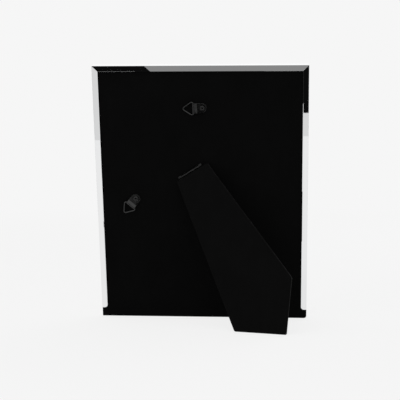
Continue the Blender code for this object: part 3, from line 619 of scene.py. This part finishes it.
def take(made):
    """Selects one object alone and makes it the active one."""
    deselect()
    made.select_set(True)
    bpy.context.view_layer.objects.active = made


def begin(name, kind, **values):
    """Adds a primitive, all of it selected in edit mode."""
    deselect()
    getattr(bpy.ops.mesh, "primitive_" + kind + "_add")(**values)
    made = bpy.context.active_object
    made.name = name
    made.data.name = name
    bpy.ops.object.transform_apply(location=True, rotation=True, scale=True)
    bpy.ops.object.mode_set(mode="EDIT")
    bpy.ops.mesh.select_all(action="SELECT")
    return made


def pick(made, what, test):
    """Selects only the verts, edges or faces that pass the test, by their middle point."""
    bpy.ops.mesh.select_mode(type={"verts": "VERT", "edges": "EDGE", "faces": "FACE"}[what])
    bpy.ops.mesh.select_all(action="DESELECT")
    shape = bmesh.from_edit_mesh(made.data)
    for part in getattr(shape, what):
        if what == "verts":
            fits = test(part.co)
        elif what == "edges":
            start, end = (vert.co for vert in part.verts)
            fits = test((start + end) / 2, end - start)
        else:
            fits = test(part.calc_center_median(), part.normal)
        if fits:
            part.select = True
    shape.select_flush_mode()
    bmesh.update_edit_mesh(made.data)


def near(a, b, slack=0.01 * MM):
    return abs(a - b) < slack


# %% Extrude, bevel and cut
def pull(x, y, z):
    """Extrudes what is selected."""
    bpy.ops.mesh.extrude_region_move(TRANSFORM_OT_translate={"value": (x, y, z)})


def bevel(made, what, test, width, segments):
    """Bevels the edges or verts that pass the test."""
    pick(made, what, test)
    affect = {"verts": "VERTICES", "edges": "EDGES"}[what]
    bpy.ops.mesh.bevel(offset=width, segments=segments, affect=affect)


def saw(point, away, trim=False):
    """Cuts the whole mesh along a plane; trim removes what lies beyond it and closes the cut."""
    bpy.ops.mesh.select_all(action="SELECT")
    bpy.ops.mesh.bisect(plane_co=point, plane_no=away, use_fill=trim, clear_outer=trim)


def tidy_mesh(doubled=0.001 * MM):
    """Merges doubled points and turns every face outwards."""
    bpy.ops.mesh.select_all(action="SELECT")
    bpy.ops.mesh.remove_doubles(threshold=doubled)
    bpy.ops.mesh.normals_make_consistent(inside=False)


# %% Finish a piece
SHARP = math.radians(50)


def modifier(made, kind, **values):
    """Adds a modifier and applies it."""
    take(made)
    step = made.modifiers.new(kind.lower(), kind)
    for name, value in values.items():
        setattr(step, name, value)
    bpy.ops.object.modifier_apply(modifier=step.name)


def ease(made, width, segments=2):
    """Rounds every sharp edge a little."""
    modifier(made, "BEVEL", width=width, segments=segments, limit_method="ANGLE", angle_limit=SHARP)


def smooth(made, angle, weighted=False):
    """Smooth shading up to an angle in degrees; weighted normals keep the large faces flat."""
    take(made)
    bpy.ops.object.shade_smooth_by_angle(angle=math.radians(angle))
    if weighted:
        modifier(made, "WEIGHTED_NORMAL", keep_sharp=True, weight=100)


def settle(made, matrix, body, slot, material, *stands_for):
    """Puts the mesh in its place, gives it its finish and its body, and hides what it stands for."""
    take(made)
    made.matrix_world = matrix
    bpy.ops.object.transform_apply(location=True, rotation=True, scale=True)
    made.data.materials.clear()
    made.data.materials.append(material)
    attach(made, body)
    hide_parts(*stands_for)
    made.data.calc_loop_triangles()
    print(made.name, "has", len(made.data.loop_triangles), "triangles")


def cut_away(made, cutter):
    """Boolean difference, after which the cutter is removed."""
    modifier(made, "BOOLEAN", operation="DIFFERENCE", solver="EXACT", object=cutter)
    bpy.data.objects.remove(cutter)


# %% [markdown]
# ## Rails
#
# On the real frame each rail is one strip of sheet metal, folded twice into a
# channel and cut to a mitre at both ends. It is modelled in the same order. A flat
# strip is the outer wall, its two long edges are extruded to make the face and the
# rear lip, Solidify gives it the thickness of the sheet, and Bevel rounds the folds.
# The side lips' inner edges and the face's sight edge are ground to a narrow slope,
# Bisect cuts the mitres, and a last small Bevel breaks every sharp edge. A box with
# bevelled edges would be quicker, but the inside of the channel and the cut ends of
# the lips would be missing.

# %% Fold a strip
FACE_WIDTH = 5.5 * MM
LIP_WIDTH = 5.5 * MM
LIP_END = 10.7 * MM
LIP_CORNER = 3.0 * MM


def fold_strip(name, length, lip_slope, open_end):
    """The folded strip, along X, with its outer wall at z = 0 and its rear plane at y = 0."""
    made = begin(name, "plane", size=1)
    bpy.ops.transform.resize(value=(length, -FRAME_FRONT, 1), center_override=(0, 0, 0))
    bpy.ops.transform.translate(value=(0, FRAME_FRONT / 2, 0))
    if lip_slope is None:
        pick(made, "verts", lambda at: near(at.y, 0))
        bpy.ops.transform.translate(value=(0, GROUND_EDGE, 0))
    else:
        pick(made, "edges", lambda at, way: near(at.y, 0))
        pull(0, -math.tan(lip_slope) * LIP_WIDTH, LIP_WIDTH)
    pick(made, "edges", lambda at, way: near(at.y, FRAME_FRONT) and near(at.z, 0))
    pull(0, 0, FACE_WIDTH)
    if open_end:
        end = open_end * (length / 2 - LIP_END)
        saw((0, GROUND_EDGE, 0), (0, 1, 0))
        saw((end, 0, 0), (1, 0, 0))
        pick(made, "faces", lambda at, way: at.x * open_end > end * open_end and at.y > GROUND_EDGE)
        bpy.ops.mesh.delete(type="FACE")
        bevel(made, "verts", lambda at: near(at.x, end) and near(at.z, LIP_WIDTH) and at.y > GROUND_EDGE,
              LIP_CORNER, 8)
    return made


print("a strip before folding is", round((LIP_WIDTH - FRAME_FRONT + FACE_WIDTH) / MM, 1), "mm wide")

# %% Grind an edge
OUTER_SKIN = 0.6 * MM    # what lies nearer than this to the outer plane is the sheet's outer side


def grind(made, at_z, side, tilt):
    """Grinds a narrow slope along the inner edge of the lip (side 1) or the face (side -1).

    Rotate turns the other way when Blender has no window, so the tilt is negated.
    """
    edge = 0 if side > 0 else FRAME_FRONT
    pick(made, "faces", lambda at, way: way.y * side > 0.9 and abs(at.y - edge) < OUTER_SKIN)
    bpy.ops.mesh.bisect(plane_co=(0, 0, at_z), plane_no=(0, 0, 1))
    shape = bmesh.from_edit_mesh(made.data)
    level = [v.co.y for v in shape.verts if near(v.co.z, at_z) and abs(v.co.y - edge) < OUTER_SKIN]
    pick(made, "verts", lambda at: at.z > at_z + 0.01 * MM and abs(at.y - edge) < OUTER_SKIN)
    bpy.ops.transform.rotate(value=-side * tilt, orient_axis="X", center_override=(0, level[0], at_z))


# %% Make a rail
FACE_BEVEL = 0.7 * MM
FACE_BEVEL_TILT = math.radians(26)
LIP_BEVEL = 0.4 * MM
LIP_BEVEL_TILT = math.radians(26.5)
FRONT_FOLD = 0.97 * MM
REAR_FOLD = 0.13 * MM
FOLD_STEPS = 8
BROKEN_EDGE = 0.07 * MM
MITRE_GAP = 0.14 * MM


def make_rail(name, length, lip_slope, open_end, place, turn):
    made = fold_strip(name, length, lip_slope, open_end)
    modifier(made, "SOLIDIFY", thickness=SHEET, offset=1, use_even_offset=True)
    bpy.ops.object.mode_set(mode="EDIT")
    tidy_mesh()
    bevel(made, "edges", lambda at, way: near(at.z, 0) and near(at.y, FRAME_FRONT) and abs(way.x) > MM,
          FRONT_FOLD, FOLD_STEPS)
    if lip_slope is not None:
        bevel(made, "edges", lambda at, way: near(at.z, 0) and near(at.y, 0) and abs(way.x) > MM,
              REAR_FOLD, FOLD_STEPS)
        if open_end:
            grind(made, LIP_WIDTH - LIP_BEVEL, 1, LIP_BEVEL_TILT)
        inner = LIP_WIDTH - 0.1 * MM
        bevel(made, "edges", lambda at, way: at.z > inner and at.y > -OUTER_SKIN and abs(way.x) > MM,
              BROKEN_EDGE, 2)
    grind(made, FACE_WIDTH - FACE_BEVEL, -1, FACE_BEVEL_TILT)
    for side in (-1, 1):
        saw((side * (length - MITRE_GAP) / 2, 0, 0), (side, 0, 1), trim=True)
    tidy_mesh()
    ease(made, BROKEN_EDGE)
    smooth(made, 14, weighted=True)
    matrix = leaning @ Matrix.Translation(place) @ Matrix.Rotation(turn, 4, "Y")
    settle(made, matrix, "frame", "polished_metal", polished_metal, name.replace("folded_", ""))


# %% The four rails
QUARTER = math.pi / 2
SIDE_SLOPE = math.radians(1.5)
TOP_SLOPE = math.radians(-0.6)
half_wide = FRAME_WIDTH / 2
half_high = FRAME_HEIGHT / 2

make_rail("folded_bottom_rail", FRAME_WIDTH, None, 0, (0, 0, 0), 0)
make_rail("folded_top_rail", FRAME_WIDTH, TOP_SLOPE, 0, (0, 0, FRAME_HEIGHT), 2 * QUARTER)
make_rail("folded_left_rail", FRAME_HEIGHT, SIDE_SLOPE, 1, (-half_wide, 0, half_high), QUARTER)
make_rail("folded_right_rail", FRAME_HEIGHT, SIDE_SLOPE, -1, (half_wide, 0, half_high), -QUARTER)

# %% [markdown]
# ## Velvet on the board
#
# The cover is one piece of black velvet, glued to the back of the hardboard and
# folded round its edges. A block the size of the covered board is cut to its outline,
# its flat faces are joined so that each bevel meets one whole edge, and its edges are
# rounded. A second block, smaller all round by the thickness of the velvet, is taken
# out of it with Boolean, and so are the window at the front, the slots for the hinge
# and the holes for the eyelets. Solidify could make the skin too, but it throws up
# spikes at rounded corners. Cloth simulation would add nothing, because the velvet is
# glued down all over.

# %% Outline of the covered board
BOARD_HALF = 101.9 * MM
BOARD_TOP = 255.9 * MM
FOOT_LOW = 1.0 * MM
SHOULDER = 10.0 * MM
TURN_IN_FRONT = -5.088 * MM
FOOT_CUTS = ((-1, 2.4 * MM, 3), (1, 0.6 * MM, 3))    # side, size of the corner cut, segments
FLAT = math.radians(1)


def covered_board(name, inset, rounding):
    """The board's outline as a block, drawn in by inset on every side."""
    half = BOARD_HALF - inset
    low = FOOT_LOW + inset
    top = BOARD_TOP - inset
    front = TURN_IN_FRONT + inset
    back = VELVET_BACK - inset
    made = begin(name, "cube", size=1)
    bpy.ops.transform.resize(value=(2 * half, back - front, top - low), center_override=(0, 0, 0))
    bpy.ops.transform.translate(value=(0, (back + front) / 2, (top + low) / 2))
    saw((0, 0, SHOULDER - inset), (0, 0, 1))
    for side in (-1, 1):
        pick(made, "faces", lambda at, way: way.x * side > 0.9 and at.z < SHOULDER - inset)
        pull(side * (FRAME_WIDTH / 2 - BOARD_HALF), 0, 0)
    bpy.ops.mesh.select_all(action="SELECT")
    bpy.ops.mesh.dissolve_limited(angle_limit=FLAT)
    wider = half + MM
    for side, cut, segments in FOOT_CUTS:
        bevel(made, "edges", lambda at, way: at.x * side > wider and near(at.z, low) and abs(way.y) > MM,
              cut, segments)
    if rounding:
        outer = back, front
        bevel(made, "edges", lambda at, way: abs(way.y) < 0.1 * MM and any(near(at.y, y) for y in outer),
              rounding, 4)
    tidy_mesh()
    deselect()
    return made


# %% A block to cut with
def block(name, low, high, matrix):
    """A plain block used as a cutter, its corners in that matrix's own millimetres."""
    made = begin(name, "cube", size=1)
    size = [(b - a) * MM for a, b in zip(low, high)]
    middle = [(b + a) / 2 * MM for a, b in zip(low, high)]
    bpy.ops.transform.resize(value=size, center_override=(0, 0, 0))
    bpy.ops.transform.translate(value=middle)
    deselect()
    made.matrix_world = matrix
    return made


# %% Board cover
VELVET = 0.4 * MM
FOLD_ROUND = 0.42 * MM
TURN_IN = 12.0 * MM
KNUCKLE_SLOTS = ((3.0, 8.6), (17.6, 23.2))
SLOT_NEAR = 0.43
SLOT_FAR = 1.53
EYELET_SPOTS = ((-1.8 * MM, 216.2 * MM), (65.0 * MM, 125.8 * MM))
EYELET_HOLE = 1.6 * MM

cover = covered_board("velvet_cover", 0, FOLD_ROUND)
cut_away(cover, covered_board("board_room", VELVET, 0))
window_half = (BOARD_HALF - TURN_IN) / MM
window = (-window_half, -8, (FOOT_LOW + TURN_IN) / MM), (window_half, -4, (BOARD_TOP - TURN_IN) / MM)
cut_away(cover, block("window", *window, Matrix()))
upright_hinge = leaning.inverted() @ on_hinge
for start, end in KNUCKLE_SLOTS:
    cut_away(cover, block("slot", (start, SLOT_NEAR, -3.0), (end, SLOT_FAR, 0.0), upright_hinge))
for x, z in EYELET_SPOTS:
    hole = begin("eyelet_hole", "cylinder", radius=EYELET_HOLE, depth=20 * MM, vertices=40)
    deselect()
    hole.matrix_world = Matrix.Translation((x, 0, z)) @ Matrix.Rotation(QUARTER, 4, "X")
    cut_away(cover, hole)
smooth(cover, 35)
settle(cover, leaning, "back", "black_velvet", black_velvet, "board_velvet")

# %% [markdown]
# ## Velvet on the strut
#
# The strut is a five-sided board. A block is sawn to its outline with five Bisect
# cuts, just as the board is, and then rounded, opened and given its thickness like
# the cover of the back. The lining is a second, smaller piece of velvet glued over
# the turned-in edges.

# %% Outline of the strut
STRUT_CORNERS = ((32.34, -1.7), (52.02, -139.94), (21.91, -183.87), (-20.61, -157.18), (-2.90, -1.7))
STRUT_CORNER = 1.5 * MM


def sawn_strut(name, inset, low, high, rounding):
    """A block cut to the strut's outline, drawn in by inset, between two heights in mm."""
    made = begin(name, "cube", size=1)
    bpy.ops.transform.resize(value=(0.3, 0.5, (high - low) * MM), center_override=(0, 0, 0))
    bpy.ops.transform.translate(value=(0, -0.09, (high + low) / 2 * MM))
    for number, (x, y) in enumerate(STRUT_CORNERS):
        before_x, before_y = STRUT_CORNERS[number - 1]
        away = Vector((-(y - before_y), x - before_x, 0)).normalized()
        saw(Vector((x, y, 0)) * MM - away * inset, away, trim=True)
    bevel(made, "edges", lambda at, way: abs(way.z) > 0.1 * MM, STRUT_CORNER, 5)
    if rounding:
        bevel(made, "edges", lambda at, way: abs(way.z) < 0.1 * MM, rounding, 4)
    tidy_mesh()
    deselect()
    return made


# %% Strut cover and lining
STRUT_FACE = 1.37
STRUT_FOLD = -1.23
STRUT_TURN_IN = 8.0 * MM
HINGE_MOUTH = ((-0.3, -14.3, -4.0), (26.5, 0, -0.73))
LINING_LOW = -1.73
LINING_HIGH = -1.33
LINING_INSET = 2.0 * MM

thick = VELVET / MM
strut_cover = sawn_strut("velvet_strut_cover", 0, STRUT_FOLD, STRUT_FACE, FOLD_ROUND)
cut_away(strut_cover, sawn_strut("strut_room", VELVET, STRUT_FOLD + thick, STRUT_FACE - thick, 0))
cut_away(strut_cover, sawn_strut("window", STRUT_TURN_IN, STRUT_FOLD - 3, STRUT_FOLD + 1, 0))
cut_away(strut_cover, block("mouth", *HINGE_MOUTH, Matrix()))
smooth(strut_cover, 35)
# strut_velvet is the lighter copy of the velvet, with painted light for the upturned strut
settle(strut_cover, on_strut, "strut", "black_velvet", strut_velvet, "strut_velvet")

lining = sawn_strut("velvet_lining", LINING_INSET, LINING_LOW, LINING_HIGH, 0.12 * MM)
smooth(lining, 35)
settle(lining, on_strut, "strut", "black_velvet", strut_velvet, "strut_lining")

# %% [markdown]
# ## Strap hangers
#
# Each hanger is a strip of steel folded in two round the bar of a wire ring, and
# held by a hollow rivet that it turns on. The strip is modelled flat and bent with
# Spin round the wire, as the factory's press does it, and a narrow Bevel rounds the
# bend where its upper leaf starts to climb. The wire is a circle carried round the
# three corners of the ring, with Extrude for each straight and Spin for each bend.
# The eyelet is turned like a piece on a lathe, by extruding a circle and scaling it
# at each step. Each of the three is modelled once and copied to both places.

# %% Strap
STRAP_THICK = 0.6 * MM
STRAP_WIDE = 9.6 * MM
STRAP_HEAD = 3.7 * MM
STRAP_TAIL = 4.1 * MM
UNDER_TOP = 0.9 * MM
UPPER_LOW = 1.0 * MM
BAR_OFFSET = 8.3 * MM
BAR_HIGH = 1.75 * MM
LOOP_IN = 0.85 * MM
CLIMB_FROM = 5.5 * MM
CLIMB_RUN = Vector((BAR_OFFSET - CLIMB_FROM, BAR_HIGH - UPPER_LOW))
CLIMB = math.atan2(CLIMB_RUN.y, CLIMB_RUN.x) + math.asin(LOOP_IN / CLIMB_RUN.length)
PRESS_BEND = 0.8 * MM
STRAP_ROUND = STRAP_WIDE / 2 - 0.01 * MM
STRAP_EDGE = 0.13 * MM


def spin(angle, centre, axis, steps):
    """Spin, which turns the other way when Blender has no window."""
    bpy.ops.mesh.spin(steps=steps, angle=-angle, center=centre, axis=axis, use_auto_merge=False)


def fold_strap(name):
    made = begin(name, "plane", size=1)
    bpy.ops.transform.resize(value=(STRAP_TAIL + BAR_OFFSET, STRAP_WIDE, 1), center_override=(0, 0, 0))
    bpy.ops.transform.translate(value=((BAR_OFFSET - STRAP_TAIL) / 2, 0, UNDER_TOP))
    bevel(made, "verts", lambda at: near(at.x, -STRAP_TAIL), STRAP_ROUND, 12)
    pick(made, "edges", lambda at, way: near(at.x, BAR_OFFSET))
    spin(-(math.pi + CLIMB), (BAR_OFFSET, 0, BAR_HIGH), (0, 1, 0), 16)
    leave = Vector((BAR_OFFSET - LOOP_IN * math.sin(CLIMB), 0, BAR_HIGH + LOOP_IN * math.cos(CLIMB)))
    pull(CLIMB_FROM - leave.x, 0, UPPER_LOW - leave.z)
    pull(-STRAP_HEAD - CLIMB_FROM, 0, 0)
    bpy.ops.mesh.select_all(action="SELECT")
    bpy.ops.mesh.remove_doubles(threshold=0.001 * MM)
    bevel(made, "edges", lambda at, way: near(at.x, CLIMB_FROM) and near(at.z, UPPER_LOW), PRESS_BEND, 5)
    bevel(made, "verts", lambda at: near(at.x, -STRAP_HEAD) and near(at.z, UPPER_LOW), STRAP_ROUND, 12)
    tidy_mesh(0.05 * MM)
    shape = bmesh.from_edit_mesh(made.data)
    under = min(shape.faces, key=lambda face: (round(face.calc_center_median().z, 5), -face.calc_area()))
    if under.normal.z < 0:
        bpy.ops.mesh.flip_normals()
    modifier(made, "SOLIDIFY", thickness=STRAP_THICK, offset=-1, use_even_offset=True)
    bpy.ops.object.mode_set(mode="EDIT")
    tidy_mesh()
    cut_away(made, begin("strap_hole", "cylinder", radius=EYELET_HOLE, depth=8 * MM, vertices=40))
    ease(made, STRAP_EDGE, 3)
    smooth(made, 50, weighted=True)
    return made


print("the upper leaf climbs at", round(math.degrees(CLIMB), 1), "degrees to the wire")

# %% Ring of wire
WIRE = 0.65 * MM
RING_BAR = 4.3 * MM
RING_ROUND = 1.7 * MM
RING_POINT = math.radians(33.5)
BUTT_GAP = 0.1 * MM


def bend_ring(name):
    """Wire that starts and ends at the middle of the bar, inside the strap."""
    made = begin(name, "circle", vertices=14, radius=WIRE, fill_type="NGON", rotation=(QUARTER, 0, 0))
    bpy.ops.transform.translate(value=(0, BUTT_GAP / 2, 0))
    half = RING_BAR + RING_ROUND / math.tan((QUARTER - RING_POINT) / 2)
    point = half / math.tan(RING_POINT)
    side = math.hypot(half, point) - (half - RING_BAR) - RING_ROUND / math.tan(RING_POINT)
    foot_turn = QUARTER + RING_POINT
    point_turn = math.pi - 2 * RING_POINT
    point_centre = point - RING_ROUND / math.sin(RING_POINT)
    run = Vector((math.cos(RING_POINT), -math.sin(RING_POINT), 0)) * side
    pull(0, RING_BAR - BUTT_GAP / 2, 0)
    spin(-foot_turn, (RING_ROUND, RING_BAR, 0), (0, 0, 1), 12)
    pull(*run)
    spin(-point_turn, (point_centre, 0, 0), (0, 0, 1), 12)
    pull(-run.x, run.y, 0)
    spin(-foot_turn, (RING_ROUND, -RING_BAR, 0), (0, 0, 1), 12)
    pull(0, RING_BAR - BUTT_GAP / 2, 0)
    tidy_mesh()
    smooth(made, 60)
    return made


print("the ring's wire is", round(2 * WIRE / MM, 1), "mm thick")


# %% Turn a piece
def turned(name, profile, solid):
    """Carries a circle through (radius, height) steps; a solid piece is filled at both ends."""
    first = profile[0]
    made = begin(name, "circle", vertices=48, radius=first[0], fill_type="NGON" if solid else "NOTHING")
    bpy.ops.transform.translate(value=(0, 0, first[1]))
    radius, height = first
    for next_radius, next_height in profile[1:]:
        pull(0, 0, next_height - height)
        share = next_radius / radius
        bpy.ops.transform.resize(value=(share, share, 1), center_override=(0, 0, next_height))
        radius, height = next_radius, next_height
    tidy_mesh()
    smooth(made, 40)
    return made


# %% Outline of the hollow rivet
BORE = 0.9 * MM
SHANK = 1.5 * MM
FLANGE = 2.3 * MM
FLANGE_LOW = 1.7 * MM
FLANGE_TOP = 2.2 * MM
EYELET_BACK = -3.1 * MM
BACK_ROLL = 0.35 * MM
FRONT_ROLL = 0.30 * MM
BORE_BEND = 0.45 * MM
BORE_EDGE = 0.10 * MM
ROLL_STEPS = 10


def eyelet_profile():
    """Closed outline of the hollow rivet, its front flange rolled over in an arc."""
    points = [(BORE, FLANGE_TOP - BORE_BEND)]
    middle = (BORE + FLANGE) / 2
    reach = (FLANGE - BORE) / 2
    for step in range(ROLL_STEPS + 1):
        angle = math.pi * (1 - step / ROLL_STEPS)
        rise = FLANGE_TOP - FRONT_ROLL + FRONT_ROLL * math.sin(angle)
        points.append((middle + reach * math.cos(angle), rise))
    back = EYELET_BACK - BACK_ROLL
    points += [(FLANGE, FLANGE_LOW), (SHANK, FLANGE_LOW), (SHANK, EYELET_BACK), (FLANGE, EYELET_BACK)]
    points += [(FLANGE - BACK_ROLL, back), (BORE + BORE_EDGE, back), (BORE, back + BORE_EDGE), points[0]]
    return points


print("the hollow rivet is turned in", len(eyelet_profile()) - 1, "steps")

# %% Both hangers
RING_REACH = 9.90 * MM
RING_CLEAR = 0.3 * MM
RING_DROP = math.asin((BAR_HIGH - WIRE - RING_CLEAR) / RING_REACH)


def copied(model, name):
    """A copy of a piece, with a mesh of its own."""
    made = bpy.data.objects.new(name, model.data.copy())
    bpy.context.collection.objects.link(made)
    return made


def place_hanger(side, spot, turn, models):
    turn_frame = Matrix((
        (math.sin(turn), math.cos(turn), 0),
        (0, 0, 1),
        (math.cos(turn), -math.sin(turn), 0),
    )).to_4x4()
    place = leaning @ Matrix.Translation((spot[0], VELVET_BACK, spot[1]))
    on_strap = place @ turn_frame
    dropped = Matrix.Rotation(RING_DROP, 4, "Y")
    on_ring = on_strap @ Matrix.Translation((BAR_OFFSET, 0, BAR_HIGH)) @ dropped
    on_shank = place @ Matrix.Rotation(-QUARTER, 4, "X")
    strap, ring, eyelet = (copied(model, side + "_" + model.name) for model in models)
    settle(strap, on_strap, side + "_strap", "dark_plated_steel", dark_steel, side + "_hanger_strap")
    settle(ring, on_ring, side + "_ring", "dark_plated_steel", dark_steel, side + "_hanger_ring")
    settle(eyelet, on_shank, "back", "dark_plated_steel", dark_steel, side + "_hanger_eyelet")


rivet_model = turned("turned_eyelet", eyelet_profile(), solid=False)
models = [fold_strap("folded_strap"), bend_ring("wire_ring"), rivet_model]
place_hanger("top", EYELET_SPOTS[0], math.radians(92), models)
place_hanger("side", EYELET_SPOTS[1], math.radians(140), models)
for model in models:
    bpy.data.objects.remove(model)

# %% [markdown]
# ## Hinge
#
# The hinge leaves keep the shape of the model's solids, but real sheet has no
# perfectly sharp edge: each one is rounded a little by the press and catches a line
# of light. So each leaf and rivet is a copy of its node, merged into one surface,
# with a small Bevel. The node itself is left alone and hidden.

# %% Ease the edges of the hinge pieces
EASED_EDGE = 0.08 * MM


def eased_copy(node, body):
    made = copied(nodes[node], node.replace("hinge", "eased"))
    take(made)
    bpy.ops.object.mode_set(mode="EDIT")
    bpy.ops.mesh.select_all(action="SELECT")
    bpy.ops.mesh.remove_doubles(threshold=0.001 * MM)
    bpy.ops.mesh.dissolve_limited(angle_limit=FLAT)
    ease(made, EASED_EDGE)
    smooth(made, 50)
    settle(made, Matrix(), body, "blackened_steel", blackened_steel, node)


for piece in ("leaf", "rivet_1", "rivet_2"):
    eased_copy("hinge_board_" + piece, "back")
    eased_copy("hinge_strut_" + piece, "strut")

# %% Hinge pin
PIN = 0.65
PIN_LOW = -0.4
PIN_HIGH = 26.6
dome = [(0.20, 0.0), (0.42, 0.06), (0.56, 0.16), (PIN, 0.32)]    # radius and height, in mm
pin_profile = [(r * MM, (PIN_LOW + h) * MM) for r, h in dome]
pin_profile += [(r * MM, (PIN_HIGH - h) * MM) for r, h in reversed(dome)]
pin = turned("turned_pin", pin_profile, solid=True)
along_pin = on_hinge @ Matrix.Rotation(QUARTER, 4, "Y")
settle(pin, along_pin, "back", "blackened_steel", blackened_steel, "hinge_pin")

# %% Give the finishes to the parts
finishes = {
    "polished_metal": polished_metal,
    "black_velvet": black_velvet,
    "blackened_steel": blackened_steel,
    "dark_plated_steel": dark_steel,
    "clear_glass": clear_glass,
    "print_paper": print_paper,
    "grey_card": grey_card,
    "brown_hardboard": hardboard,
}
for part in frame["record"]["subparts"]:
    finish = finishes[part["material_slot"]]
    nodes[part["node"]].data.materials.clear()
    nodes[part["node"]].data.materials.append(finish)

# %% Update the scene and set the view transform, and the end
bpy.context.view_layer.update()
scene = bpy.context.scene
scene.view_settings.view_transform = "Standard"
